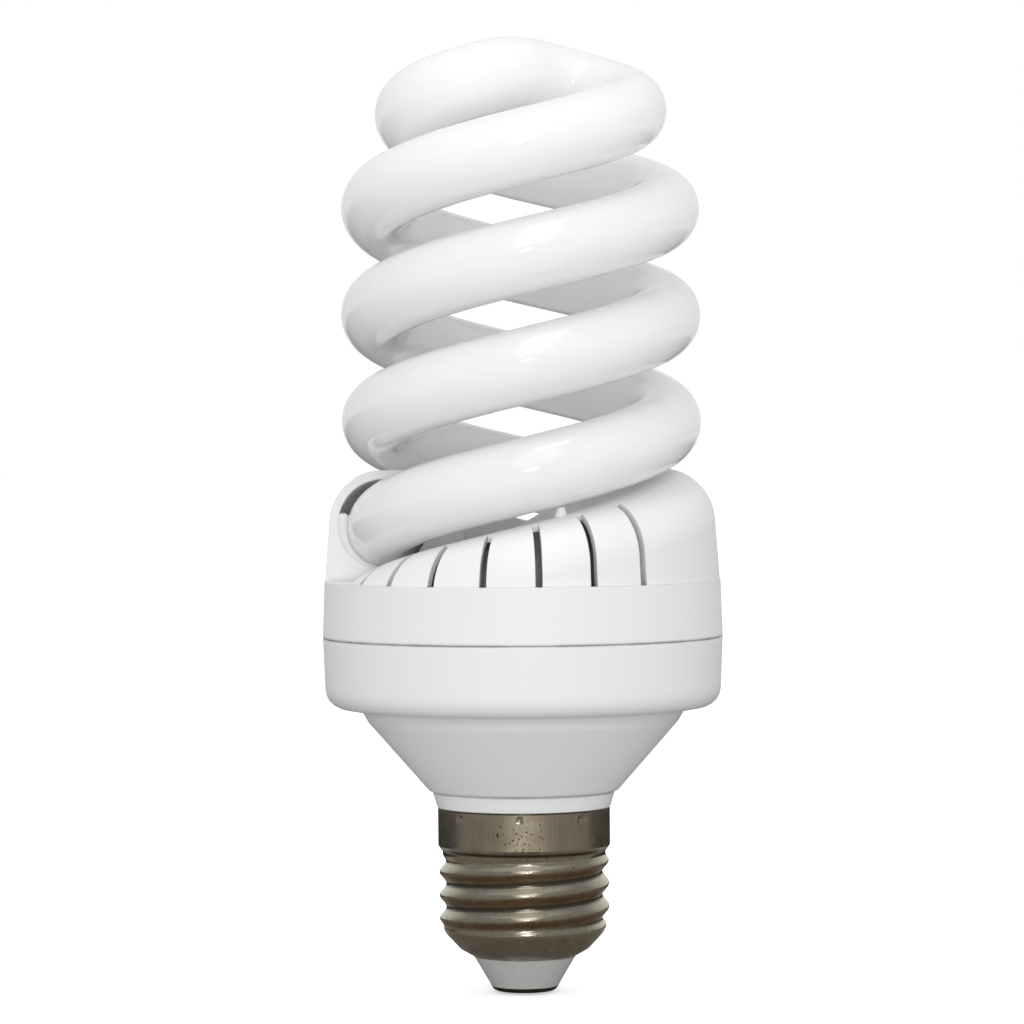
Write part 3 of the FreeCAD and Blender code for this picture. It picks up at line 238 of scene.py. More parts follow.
def tube_tree():
    """Round tube along a chain of edges, as wide as its points say, with both ends drawn in."""
    tree, given, made = rule_tree("tube_along_a_line", {
        "Tube radius": "NodeSocketFloat", "End round": "NodeSocketFloat",
        "Ring spacing": "NodeSocketFloat", "Sides": "NodeSocketInt",
        "Finish": "NodeSocketMaterial"})
    radius, end_round = given.outputs["Tube radius"], given.outputs["End round"]
    line = add(tree, "GeometryNodeMeshToCurve", {}, {"Mesh": given.outputs["Geometry"]})
    even = add(tree, "GeometryNodeResampleCurve", {"mode": "LENGTH"}, {
        "Curve": line.outputs[0], "Length": given.outputs["Ring spacing"]})
    along = add(tree, "GeometryNodeSplineParameter", {}, {}).outputs["Length"]
    whole = add(tree, "GeometryNodeSplineLength", {}, {}).outputs["Length"]
    from_end = maths(tree, "MINIMUM", along, maths(tree, "SUBTRACT", whole, along))
    short = maths(tree, "MAXIMUM", maths(tree, "SUBTRACT", end_round, from_end), 0.0)
    squares = maths(tree, "SUBTRACT", maths(tree, "POWER", end_round, 2.0),
                    maths(tree, "POWER", short, 2.0))
    drawn_in = maths(tree, "SUBTRACT", end_round, maths(tree, "SQRT", squares))
    share = maths(tree, "DIVIDE", maths(tree, "SUBTRACT", radius, drawn_in), radius)
    width = add(tree, "GeometryNodeInputNamedAttribute", {"data_type": "FLOAT"}, {"Name": "width"})
    scale = maths(tree, "MULTIPLY", share, width.outputs["Attribute"])
    ring = add(tree, "GeometryNodeCurvePrimitiveCircle", {}, {
        "Resolution": given.outputs["Sides"], "Radius": radius})
    tube = add(tree, "GeometryNodeCurveToMesh", {}, {
        "Curve": even.outputs[0], "Profile Curve": ring.outputs[0], "Scale": scale,
        "Fill Caps": True})
    smooth = add(tree, "GeometryNodeSetShadeSmooth", {}, {"Geometry": tube.outputs[0]})
    real = add(tree, "GeometryNodeRealizeInstances", {}, {"Geometry": smooth.outputs[0]})
    coated = add(tree, "GeometryNodeSetMaterial", {}, {
        "Geometry": real.outputs[0], "Material": given.outputs["Finish"]})
    feed(tree, made, {"Geometry": coated.outputs[0]})
    return tree


def hand_over(piece, node):
    """The piece rides on the lamp and stands in for a node of the solid model, which is hidden."""
    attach(piece, "root")
    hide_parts(node)
    print(piece.name, "stands for", node, "with", len(piece.data.polygons), "faces")


round_tube = tube_tree()
tube_line = chain("tube_line", centre_line, np.ones(len(centre_line)))
tube = run_rule("glass_spiral", tube_line, round_tube, {
    "Tube radius": TUBE_RADIUS * MM, "End round": TUBE_END_ROUND * MM,
    "Ring spacing": RING_SPACING * MM, "Sides": TUBE_SIDES, "Finish": glass})
hand_over(tube, "spiral_tube")

# %% [markdown]
# ## The metal of the screw shell
# The shell is nickel-plated sheet that has been in use. Brown tarnish lies on it in blotches, and
# the lower side of each turn is browned more, partly tarnish and partly painted reflection of the
# warm floor. Painted shade darkens the bottom of each groove, the crimps, and the foot and upper
# edge of the skirt. The drawing of the sheet left fine upright lines, and small pits have opened
# through the plating, most of all on the front of the skirt. Such marks could be painted by hand,
# but they follow the shape. So each point carries two values, groove and underside, for the painted
# shade and brown.

# %% Tarnished nickel
BROWN_BLOTCH = 2.6
# real drawing lines are finer, and this is as coarse as they have to be to show
DRAWING_LINE = 0.35
DRAWING_DEPTH = 0.03
PIT_SPACING = 0.6
PIT_FIELD = 4
WORST_PITS = (0.6, -13.3, 24.4)
WORST_CORE = 2
WORST_END = 6.5
# the foot and the upper edge of the skirt are darkened with painted shade at these heights
SKIRT_FOOT = 21.95
EDGE_UNSHADED = 28.15
EDGE_SHADED = 28.35


def tarnished_nickel():
    """Nickel plate: tarnish, painted floor reflection below the turns, painted shade in grooves,
    lines, pits.
    """
    material, tree, shader = new_material("tarnished_nickel_plate")
    place = add(tree, "ShaderNodeTexCoord", {}, {}).outputs["Object"]
    groove = add(tree, "ShaderNodeAttribute", {"attribute_name": "groove"}, {}).outputs["Fac"]
    underside = add(tree, "ShaderNodeAttribute", {"attribute_name": "underside"}, {}).outputs["Fac"]
    blotch = add(tree, "ShaderNodeTexNoise", {}, {
        "Vector": place, "Scale": 1 / (BROWN_BLOTCH * MM), "Detail": 5, "Roughness": 0.62})
    spread = maths(tree, "MULTIPLY_ADD", blotch.outputs["Fac"], 0.9, underside)
    brown = add(tree, "ShaderNodeMapRange", {}, {0: spread, 1: 0.74, 2: 1.45, 3: 0.0, 4: 0.9})
    upright = add(tree, "ShaderNodeMapping", {}, {"Vector": place, "Scale": (1, 1, 0.05)})
    lines = add(tree, "ShaderNodeTexNoise", {}, {
        "Vector": upright.outputs[0], "Scale": 1 / (DRAWING_LINE * MM),
        "Detail": 3, "Roughness": 0.6})
    pit = add(tree, "ShaderNodeTexVoronoi", {}, {"Vector": place, "Scale": 1 / (PIT_SPACING * MM)})
    field = add(tree, "ShaderNodeTexNoise", {}, {
        "Vector": place, "Scale": 1 / (PIT_FIELD * MM), "Detail": 2})
    reach = add(tree, "ShaderNodeMapRange", {}, {
        0: field.outputs["Fac"], 1: 0.5, 2: 0.75, 3: 0.0, 4: 0.3})
    away = add(tree, "ShaderNodeVectorMath", {"operation": "DISTANCE"}, {
        0: place, 1: [c * MM for c in WORST_PITS]}).outputs["Value"]
    worst = add(tree, "ShaderNodeMapRange", {}, {
        0: away, 1: WORST_CORE * MM, 2: WORST_END * MM, 3: 0.24, 4: 0.0})
    pitted = maths(tree, "LESS_THAN", pit.outputs["Distance"],
                   maths(tree, "ADD", reach.outputs[0], worst.outputs[0]))
    height = add(tree, "ShaderNodeSeparateXYZ", {}, {0: place}).outputs["Z"]
    from_foot = maths(tree, "ABSOLUTE", maths(tree, "SUBTRACT", height, SKIRT_FOOT * MM))
    foot = add(tree, "ShaderNodeMapRange", {}, {
        0: from_foot, 1: 0.1 * MM, 2: 0.4 * MM, 3: 1.0, 4: 0.0})
    edge = add(tree, "ShaderNodeMapRange", {}, {
        0: height, 1: EDGE_UNSHADED * MM, 2: EDGE_SHADED * MM, 3: 0.0, 4: 1.0})
    # painted shade at the bottom of each groove and in the crimps, at the foot and the upper edge
    # of the skirt
    bottom = add(tree, "ShaderNodeMapRange", {}, {0: groove, 1: 0.82, 2: 0.97, 3: 0.0, 4: 1.0})
    crease_shade = maths(tree, "MAXIMUM", maths(tree, "MAXIMUM", foot.outputs[0], edge.outputs[0]),
                 bottom.outputs[0])
    plate = add(tree, "ShaderNodeMix", {"data_type": "RGBA"}, {
        0: lines.outputs["Fac"], 6: linear("#ADA592"), 7: linear("#DAD3C0")})
    # brown of tarnish, and below the turns a painted reflection of the warm floor
    tarnish_and_reflection = add(tree, "ShaderNodeMix", {"data_type": "RGBA"}, {
        0: brown.outputs[0], 6: plate.outputs[2], 7: linear("#937859")})
    # the pits are dark, and the same dark is painted shade in the grooves, crimps, foot and upper
    # edge
    pitted_and_shaded = add(tree, "ShaderNodeMix", {"data_type": "RGBA"}, {
        0: maths(tree, "MULTIPLY", maths(tree, "MAXIMUM", pitted, crease_shade), 0.8),
        6: tarnish_and_reflection.outputs[2], 7: linear("#2B241D")})
    dull = add(tree, "ShaderNodeMapRange", {}, {
        0: brown.outputs[0], 1: 0.0, 2: 0.9, 3: 0.2, 4: 0.38})
    bump = add(tree, "ShaderNodeBump", {}, {
        "Height": lines.outputs["Fac"], "Strength": 0.5, "Distance": DRAWING_DEPTH * MM})
    feed(tree, shader, {
        "Base Color": pitted_and_shaded.outputs[2], "Roughness": dull.outputs[0],
        "Normal": bump.outputs["Normal"], "Metallic": 1.0})
    return material


nickel = tarnished_nickel()
print("material", nickel.name)

# %% [markdown]
# ## The screw shell
# The shell is thin sheet, drawn to a cup and then rolled between two threaded rollers. A thread
# could be made by sweeping a wire shape round the shell, but rolled sheet has no added wire: every
# level section stays a circle and only its centre walks round the axis once per turn. So the mesh
# is built ring by ring from that rule, on an outline with rounded corners, and the walk dies out
# at both ends of the thread.

# %% Rings of the shell
SHELL_WALL = 0.35
LIP_RADIUS = 7.4
LIP_HEIGHT = 5.36
SEAT_RADIUS = 7.9
KNEE_RADIUS = 10.0
KNEE_HEIGHT = 6.56
THREAD_RADIUS = 12.6
THREAD_THROW = 0.52
THREAD_PITCH = 3.62
THREAD_TURNS = 3.4
THREAD_HEIGHT = 9.36
THREAD_TOP = THREAD_HEIGHT + THREAD_PITCH * THREAD_TURNS
SKIRT_RADIUS = 13.3
SKIRT_HEIGHT = 22.568
CAP_TOP = 28.508
SHELL_GAP = 0.2
COLUMNS = 320


def rounded(corners, steps=5):
    """Outline with each corner (r, z, round) drawn as a short arc of that round."""
    points = []
    for number, (radius, height, bend) in enumerate(corners):
        corner = np.array([radius, height])
        if bend == 0:
            points.append(corner)
            continue
        back = np.array(corners[number - 1][:2]) - corner
        ahead = np.array(corners[(number + 1) % len(corners)][:2]) - corner
        back, ahead = back / np.linalg.norm(back), ahead / np.linalg.norm(ahead)
        half = math.acos(np.clip(back @ ahead, -1, 1)) / 2
        middle = (back + ahead) / np.linalg.norm(back + ahead)
        centre = corner + middle * bend / math.sin(half)
        start = corner + back * bend / math.tan(half) - centre
        stop = corner + ahead * bend / math.tan(half) - centre
        swing = math.pi - 2 * half
        for step in range(steps + 1):
            share = step / steps
            points.append(centre + (start * math.sin((1 - share) * swing)
                                    + stop * math.sin(share * swing)) / math.sin(swing))
    return np.array(points)


def spaced(outline, gap):
    """Outline with points added so that none are further apart than the gap."""
    rows = []
    for here, ahead in zip(outline, np.roll(outline, -1, axis=0)):
        count = max(1, math.ceil(np.linalg.norm(ahead - here) / gap))
        rows += [here + (ahead - here) * step / count for step in range(count)]
    return np.array(rows)


shell_outline = rounded([
    (LIP_RADIUS, LIP_HEIGHT + SHELL_WALL, 0), (LIP_RADIUS, LIP_HEIGHT, 0.1),
    (SEAT_RADIUS, LIP_HEIGHT, 0.3), (KNEE_RADIUS, KNEE_HEIGHT, 2.0),
    (THREAD_RADIUS, THREAD_HEIGHT, 2.2), (THREAD_RADIUS, THREAD_TOP, 0.4),
    (SKIRT_RADIUS, SKIRT_HEIGHT, 0.6), (SKIRT_RADIUS, CAP_TOP, 0.15),
    (SKIRT_RADIUS - SHELL_WALL, CAP_TOP, 0.15), (SKIRT_RADIUS - SHELL_WALL, SKIRT_HEIGHT, 0),
    (THREAD_RADIUS - SHELL_WALL, THREAD_TOP, 0), (THREAD_RADIUS - SHELL_WALL, THREAD_HEIGHT, 0),
    (KNEE_RADIUS - SHELL_WALL, KNEE_HEIGHT + SHELL_WALL, 0),
    (SEAT_RADIUS - SHELL_WALL, LIP_HEIGHT + SHELL_WALL, 0)])
shell_rows = spaced(shell_outline, SHELL_GAP)
print(len(shell_rows), "rings of", COLUMNS, "points")

# %% [markdown]
# ## Thread and crimps
# Each ring is shifted by the walk of the thread. Eight round punch marks then press the skirt into
# the plastic neck and hold the cap on. A point that falls inside a punch is pushed straight in
# until it lies on the round of the punch.

# %% Mesh of the shell
RUN_OUT_TURNS = 0.5
# brown on the lower side of each turn is partly tarnish and partly painted reflection of the warm
# floor
PLAIN_LEVEL = 0.4
TURN_BROWN = 0.6
BROWN_SHIFT = 0.4
FRONT_ANGLE = 270
# share of painted shade that darkens the crimp dents
CRIMP_SHADE = 0.5
CRIMP_COUNT = 8
CRIMP_RADIUS = 0.62
CRIMP_DEPTH = 0.27
CRIMP_ANGLE = -3.0
CRIMP_HEIGHT = 27.508


def smooth_step(share):
    """Ease from 0 to 1 with a level start and end."""
    share = np.clip(share, 0, 1)
    return share ** 2 * (3 - 2 * share)


def shell_points():
    """Points of the shell in millimetres, and the groove and underside value of each."""
    turn = (shell_rows[:, 1] - THREAD_HEIGHT) / THREAD_PITCH
    throw = THREAD_THROW * smooth_step(np.minimum(turn, THREAD_TURNS - turn) / RUN_OUT_TURNS)
    around = np.linspace(0, 2 * math.pi, COLUMNS, endpoint=False)
    walk = 2 * math.pi * turn
    x = shell_rows[:, :1] * np.cos(around) + (throw * np.cos(walk))[:, None]
    y = shell_rows[:, :1] * np.sin(around) + (throw * np.sin(walk))[:, None]
    z = np.repeat(shell_rows[:, 1:], COLUMNS, axis=1)
    past_crest = around[None, :] - walk[:, None]
    share = (throw / THREAD_THROW)[:, None]
    groove = np.where(share > 0, 0.5 - 0.5 * share * np.cos(past_crest), PLAIN_LEVEL)
    # more brown on the lower side of each turn: tarnish with painted reflection of the warm floor
    underside = PLAIN_LEVEL + TURN_BROWN * share * np.sin(past_crest + BROWN_SHIFT)
    return np.stack([x, y, z], axis=-1).reshape(-1, 3), groove.reshape(-1), underside.reshape(-1)


def press_crimps(points, groove):
    """Push the points inside each punch back to the round of the punch."""
    outside = np.repeat(np.arange(len(shell_rows)) < np.argmax(shell_rows[:, 1]) + 1, COLUMNS)
    for number in range(CRIMP_COUNT):
        angle = math.radians(FRONT_ANGLE + CRIMP_ANGLE + 360 * number / CRIMP_COUNT)
        inward = -np.array([math.cos(angle), math.sin(angle), 0])
        centre = -inward * (SKIRT_RADIUS - CRIMP_DEPTH + CRIMP_RADIUS) + [0, 0, CRIMP_HEIGHT]
        offset = points - centre
        ball = np.where(outside, CRIMP_RADIUS, CRIMP_RADIUS + SHELL_WALL)
        along = offset @ inward
        room = ball ** 2 - ((offset ** 2).sum(axis=1) - along ** 2)
        push = np.sqrt(np.maximum(room, 0)) - along
        hit = (room > 0) & (push > 0) & (along > 0)
        points[hit] += push[hit, None] * inward
        # the dents of the crimps are darkened with painted shade through the groove value
        groove[hit & outside] += push[hit & outside] / CRIMP_DEPTH * CRIMP_SHADE


def ring_mesh(name, points, columns):
    """Closed smooth mesh through rings of points, the last ring joined to the first."""
    rows = len(points) // columns
    row, column = np.divmod(np.arange(rows * columns), columns)
    right, up = (column + 1) % columns, (row + 1) % rows
    faces = np.column_stack([row * columns + column, row * columns + right,
                             up * columns + right, up * columns + column])
    mesh = bpy.data.meshes.new(name)
    mesh.from_pydata((points * MM).tolist(), [], faces.tolist())
    mesh.polygons.foreach_set("use_smooth", [True] * len(mesh.polygons))
    piece = bpy.data.objects.new(name, mesh)
    scene.collection.objects.link(piece)
    return piece


points, groove, underside = shell_points()
press_crimps(points, groove)
shell = ring_mesh("rolled_shell", points, COLUMNS)
shell.data.attributes.new("groove", "FLOAT", "POINT").data.foreach_set("value", groove)
shell.data.attributes.new("underside", "FLOAT", "POINT").data.foreach_set("value", underside)
shell.data.materials.append(nickel)
hand_over(shell, "screw_shell")

# %% [markdown]
# ## The moulded housing
# The cup and the vented cover are injection mouldings in white PBT. The mould was spark-eroded, so
# the skin has a fine even grain that breaks up the shine to a satin. Every edge of a moulding is a
# little round, and a bevel node lets it catch the light without a change to the mesh. Painted shade
# greys a thin line in the seam and round the neck, in uneven patches, and darkens the skin wherever
# the moulding closes in on itself, as inside the slots.

# %% White moulding
# the seam line and the neck line are painted shade, given by height and half width
SHADE_LINES = {"seam": (54.86, 0.4), "neck": (31.0, 0.4)}
# the grain of a real mould is finer, and this is as coarse as it has to be to show
MOULD_GRAIN = 0.3
GRAIN_DEPTH = 0.02
SHADE_PATCH = 7
SHADE_REACH = 2.5
EDGE_ROUND = 0.25


def painted_shade_lines(tree, height, patchy):
    """How much painted shade greys the seam and the neck line at this height."""
    painted_shade = 0.0
    for level, half_width in SHADE_LINES.values():
        away = maths(tree, "ABSOLUTE", maths(tree, "SUBTRACT", height, level * MM))
        line = add(tree, "ShaderNodeMapRange", {}, {
            0: away, 1: 0.0, 2: half_width * MM, 3: 1.0, 4: 0.0})
        painted_shade = maths(tree, "MAXIMUM", painted_shade, line.outputs[0])
    return maths(tree, "MULTIPLY", painted_shade, patchy)


def white_moulding():
    """Satin white PBT with the grain of its mould, and painted shade in the seam, the neck line and
    the slots.
    """
    material, tree, shader = new_material("moulded_white_pbt")
    place = add(tree, "ShaderNodeTexCoord", {}, {}).outputs["Object"]
    height = add(tree, "ShaderNodeSeparateXYZ", {}, {0: place}).outputs["Z"]
    grain = add(tree, "ShaderNodeTexNoise", {}, {
        "Vector": place, "Scale": 1 / (MOULD_GRAIN * MM), "Detail": 2, "Roughness": 0.5})
    uneven = add(tree, "ShaderNodeTexNoise", {}, {
        "Vector": place, "Scale": 1 / (SHADE_PATCH * MM), "Detail": 3, "Roughness": 0.6})
    patchy = add(tree, "ShaderNodeMapRange", {}, {
        0: uneven.outputs["Fac"], 1: 0.35, 2: 0.6, 3: 0.3, 4: 0.6})
    # painted shade where the moulding closes in on itself, as inside the slots
    open_space = add(tree, "ShaderNodeAmbientOcclusion", {"samples": 6, "only_local": True}, {
        "Distance": SHADE_REACH * MM})
    slot_shade = add(tree, "ShaderNodeMapRange", {}, {
        0: open_space.outputs["AO"], 1: 0.15, 2: 0.58, 3: 0.9, 4: 0.0})
    painted_shade = maths(tree, "MAXIMUM", painted_shade_lines(tree, height, patchy.outputs[0]), slot_shade.outputs[0])
    # grey of the painted shade in the seam, round the neck and in the slots
    shaded_white = add(tree, "ShaderNodeMix", {"data_type": "RGBA"}, {
        0: painted_shade, 6: linear("#EAEAEA"), 7: linear("#6A6A68")})
    soft_edge = add(tree, "ShaderNodeBevel", {"samples": 6}, {"Radius": EDGE_ROUND * MM})
    bump = add(tree, "ShaderNodeBump", {}, {
        "Height": grain.outputs["Fac"], "Strength": 0.25, "Distance": GRAIN_DEPTH * MM,
        "Normal": soft_edge.outputs[0]})
    feed(tree, shader, {
        "Base Color": shaded_white.outputs[2], "Normal": bump.outputs["Normal"],
        "Roughness": 0.42, "IOR": 1.55})
    return material


def dress(names, material):
    """Give pieces of the solid model their material."""
    for name in names:
        for number in range(len(nodes[name].data.materials)):
            nodes[name].data.materials[number] = material
    print(material.name, "on", ", ".join(names))


moulding = white_moulding()
dress(["top_cover"], moulding)

# %% [markdown]
# ## The cup
# The cup is round all over, from the neck that the cap is pressed on to the seam with the cover. A
# turned outline is the simplest rule for such a shape, and it could be made with a spin or a screw
# modifier. Here the rings of the shell serve again, because each corner of the outline then takes
# the small round that the mould gives it. The cone bends once, softly, just below the cup.

# %% Turned cup
PLUG_BORE = 10.43
PLUG_RADIUS = 11.63
PLUG_END = 10.06
NECK_PLUG_RADIUS = 12.85
NECK_RADIUS = 13.4
NECK_TOP = (14.1, 30.868)
CONE_LOW = (14.7, 31.108)
CONE_BEND = (24.0, 41.75)
CONE_TOP = (25.2, 43.85)
CUP_FLOOR = 44.0
CUP_LOW_RADIUS = 30.44
SEAM_RADIUS = 30.88
SEAM_HEIGHT = 54.858
SEAM_GROOVE = 0.25
CUP_BORE = 29.3
CUP_INSIDE = 45.5
CONE_INSIDE_RADIUS = 25.2
BORE_TOP = 29.07
PLUG_STEP = 0.1
CUP_GAP = 0.8
CUP_COLUMNS = 288

cup_outline = rounded([
    (PLUG_BORE, PLUG_END, 0), (PLUG_RADIUS, PLUG_END, 0.2), (PLUG_RADIUS, THREAD_TOP, 0.2),
    (NECK_PLUG_RADIUS, SKIRT_HEIGHT + PLUG_STEP, 0.2), (NECK_PLUG_RADIUS, CAP_TOP, 0.1),
    (NECK_RADIUS, CAP_TOP, 0.12), (*NECK_TOP, 0.12), (*CONE_LOW, 0.2), (*CONE_BEND, 4.0),
    (*CONE_TOP, 0.4), (CUP_LOW_RADIUS, CUP_FLOOR, 3.0),
    (SEAM_RADIUS, SEAM_HEIGHT - SEAM_GROOVE, 0.08), (SEAM_RADIUS - SEAM_GROOVE, SEAM_HEIGHT, 0.05),
    (CUP_BORE, SEAM_HEIGHT, 0.1), (CUP_BORE, CUP_INSIDE, 0.5),
    (CONE_INSIDE_RADIUS, CUP_INSIDE, 0.5), (PLUG_BORE, BORE_TOP, 0.5)])
cup_rows = spaced(cup_outline, CUP_GAP)
cup_around = np.linspace(0, 2 * math.pi, CUP_COLUMNS, endpoint=False)
cup_points = np.stack([cup_rows[:, :1] * np.cos(cup_around), cup_rows[:, :1] * np.sin(cup_around),
                       np.repeat(cup_rows[:, 1:], CUP_COLUMNS, axis=1)], axis=-1).reshape(-1, 3)
cup = ring_mesh("turned_cup", cup_points, CUP_COLUMNS)
cup.data.materials.append(moulding)
hand_over(cup, "base_cup")

# %% [markdown]
# ## The other finishes
# What is left is the insulator, the contact, the cement in the sockets and the small parts inside
# the housing. One function describes all of them by a colour, a second colour that clouds it, the
# size of the clouds, and how dull the surface is.

# %% Finishes of the small parts
def finish(name, colour, cloud_colour, cloud, rough, metal=0.0, grain=0.0):
    """Plain finish: one colour clouded by another at a real size, with an optional grain."""
    material, tree, shader = new_material(name)
    place = add(tree, "ShaderNodeTexCoord", {}, {}).outputs["Object"]
    noise = add(tree, "ShaderNodeTexNoise", {}, {
        "Vector": place, "Scale": 1 / (cloud * MM), "Detail": 3, "Roughness": 0.55})
    mixed = add(tree, "ShaderNodeMix", {"data_type": "RGBA"}, {
        0: noise.outputs["Fac"], 6: linear(colour), 7: linear(cloud_colour)})
    bump = add(tree, "ShaderNodeBump", {}, {
        "Height": noise.outputs["Fac"], "Strength": 0.6, "Distance": grain * MM})
    feed(tree, shader, {
        "Base Color": mixed.outputs[2], "Normal": bump.outputs["Normal"],
        "Roughness": rough, "Metallic": metal})
    return material


# pressed white ceramic-filled moulding, faintly uneven, its colour greyed as painted shade for the
# shadow under the housing
dress(["cap_insulator"], finish("shaded_white_thermoset", "#C9C9C7", "#BDBDBB", 2.5, 0.35, grain=0.01))
# tinned brass, coloured dark and dull
dress(["centre_contact"], finish("dull_tinned_brass", "#57524C", "#78726A", 1.2, 0.42, 1.0, 0.02))
# chalky cement that sets in the sockets
cement = finish("chalky_cement", "#EBEBEA", "#E0E0DE", 0.9, 0.8, grain=0.04)
dress(["tube_cement_1", "tube_cement_2"], cement)

# %% [markdown]
# ## The beads of cement
# The tube ends are bedded in cement, which swells out of each socket as a soft bead along the lower
# outer side. The bead is as wide as the gap between the tube and the socket, wide at the side and
# narrow below. The tree that swept the tube serves again, with a width at every point of the line.

# %% Cement beads
SOCKET_RADIUS = 21.5
SOCKET_HEIGHT = 72.258
SOCKET_BORE = 6.95
SLOPE_STRETCH = 1.03
BEAD_RADIUS = 0.85
BEAD_OVERLAP = 0.1
BEAD_SET_BACK = 0.35
BEAD_START_DEGREES = 19
BEAD_END_DEGREES = -112
BEAD_POINTS = 132
BEAD_END_SHARE = 0.95
BEAD_SPACING = 0.15
BEAD_SIDES = 24


def bead_line():
    """Middle of the gap round the tube at the first socket's mouth, and half its width."""
    angle = np.radians(np.linspace(BEAD_START_DEGREES, BEAD_END_DEGREES, BEAD_POINTS))
    socket = np.column_stack([SOCKET_RADIUS + SOCKET_BORE * np.cos(angle),
                              SOCKET_HEIGHT + SOCKET_BORE * np.sin(angle)])
    glass_edge = np.column_stack([FOOT_RADIUS + TUBE_RADIUS * np.cos(angle),
                                  FOOT_HEIGHT + TUBE_RADIUS * SLOPE_STRETCH * np.sin(angle)])
    middle = (socket + glass_edge) / 2
    half = np.linalg.norm(socket - glass_edge, axis=1) / 2 + BEAD_OVERLAP
    set_back = np.full(BEAD_POINTS, BEAD_SET_BACK)
    return np.column_stack([-middle[:, 0], set_back, middle[:, 1]]), half


bead_points, bead_half = bead_line()
for number, side in ((1, 1), (2, -1)):
    line = chain("bead_line", bead_points * [side, side, 1], bead_half / BEAD_RADIUS)
    bead = run_rule(f"cement_bead_{number}", line, round_tube, {
        "Tube radius": BEAD_RADIUS * MM, "End round": BEAD_END_SHARE * BEAD_RADIUS * MM,
        "Ring spacing": BEAD_SPACING * MM, "Sides": BEAD_SIDES, "Finish": cement})
    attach(bead, "root")
    print(bead.name, "half width", bead_half.min().round(2), "to", bead_half.max().round(2), "mm")

# %% [markdown]
# ## Inside the housing
# The parts of the ballast can only be seen through the slots, as shapes in the dark. They still get
# their own finish, so that the lamp can be opened up in a later picture.

# %% Finishes of the ballast
# paper laminate, warm brown
dress(["circuit_board"], finish("paper_laminate", "#B98B4E", "#A87A40", 3.0, 0.5))
# shrunk plastic sleeve of the large capacitor
dress(["bulk_capacitor"], finish("shrink_sleeve", "#23262B", "#2C3036", 4.0, 0.3))
# fired ferrite, grey and dense
dress(["choke_core", "feedback_ring", "filter_core"],
      finish("fired_ferrite", "#3A3A3C", "#4A4A4C", 0.8, 0.6, grain=0.02))
# coil former moulded in natural nylon
dress(["choke_bobbin"], finish("natural_nylon", "#E0DCCF", "#D8D3C4", 2.0, 0.45))
# enamelled copper, warm and shiny
dress(["choke_winding", "filter_winding"],
      finish("enamelled_copper", "#B4622E", "#8F4A22", 0.4, 0.3, 1.0, 0.05))
# plastic cover of the thin wire on the ring
dress(["feedback_winding"], finish("red_wire_cover", "#B5302A", "#A32B25", 1.5, 0.4))
# moulded epoxy of the transistors and diodes
dress(["transistor_1", "transistor_2"] + [f"rectifier_diode_{n}" for n in (1, 2, 3, 4)],
      finish("moulded_epoxy", "#1E1E1F", "#28282A", 1.0, 0.45, grain=0.01))
# baked lacquer on the resistors
dress([f"resistor_{n}" for n in (1, 2, 3, 4)] + ["fuse_resistor"],
      finish("baked_lacquer", "#C7A778", "#BD9A68", 1.0, 0.35))
# glass bead of the trigger diode
dress(["trigger_diode"], finish("blue_glass_bead", "#3F5F8F", "#385580", 1.0, 0.15))
# dipped coat of the film capacitors
dress(["resonant_capacitor", "coupling_capacitor", "starter_capacitor"],
      finish("dipped_coat", "#8E2F22", "#7D281D", 1.5, 0.3))
# dipped coat of the thermistor
dress(["thermistor"], finish("green_dipped_coat", "#2F5E43", "#284F39", 1.5, 0.4))
# tinned wire of the tube
dress([f"tube_lead_{n}" for n in (1, 2, 3, 4)],
      finish("tinned_wire", "#B9B9B6", "#9D9D99", 0.8, 0.3, 1.0))
# square brass pins
dress([f"wrap_pin_{n}" for n in (1, 2, 3, 4)],
      finish("drawn_brass", "#B8975A", "#9C7E49", 0.8, 0.3, 1.0))
# plastic sleeves of the two wires to the cap
dress(["live_lead"], finish("red_wire_sleeve", "#A8281F", "#98241C", 2.0, 0.4))
dress(["neutral_lead"], finish("black_wire_sleeve", "#1D1D1E", "#262627", 2.0, 0.4))

# %% [markdown]
# ## The table
# The lamp was photographed against white. The floor is pale and keeps the lamp's soft shadow. It
# sends only part of the light back up, because in the photo the cone and the cap are darker than
# the tube. The metal mirrors the floor round it. So in reflections the floor is pale close to the
# cap and far away and dark in between, and a white sheet and a wider grey one lie in front, which
# only reflections can see. The sides of the cap stay dark, and the glass shows no hard horizon.

# %% Floor and sheets
PALE_NEAR = 0.04
DARK_FROM = 0.1
DARK_TO = 0.5
PALE_FAR = 1.1


def sheet(name, width, depth, place, material):
    """Level rectangle for the stage."""
    corners = [(-width / 2, -depth / 2, 0), (width / 2, -depth / 2, 0),
               (width / 2, depth / 2, 0), (-width / 2, depth / 2, 0)]
    mesh = bpy.data.meshes.new(name)
    mesh.from_pydata(corners, [], [(0, 1, 2, 3)])
    mesh.materials.append(material)
    card = bpy.data.objects.new(name, mesh)
    card.location = place
    scene.collection.objects.link(card)
    return card


def only_in_reflections(card):
    """Hide a card from everything except mirror-like reflections."""
    card.visible_camera = False
    card.visible_diffuse = False
    card.visible_transmission = False
    card.visible_shadow = False


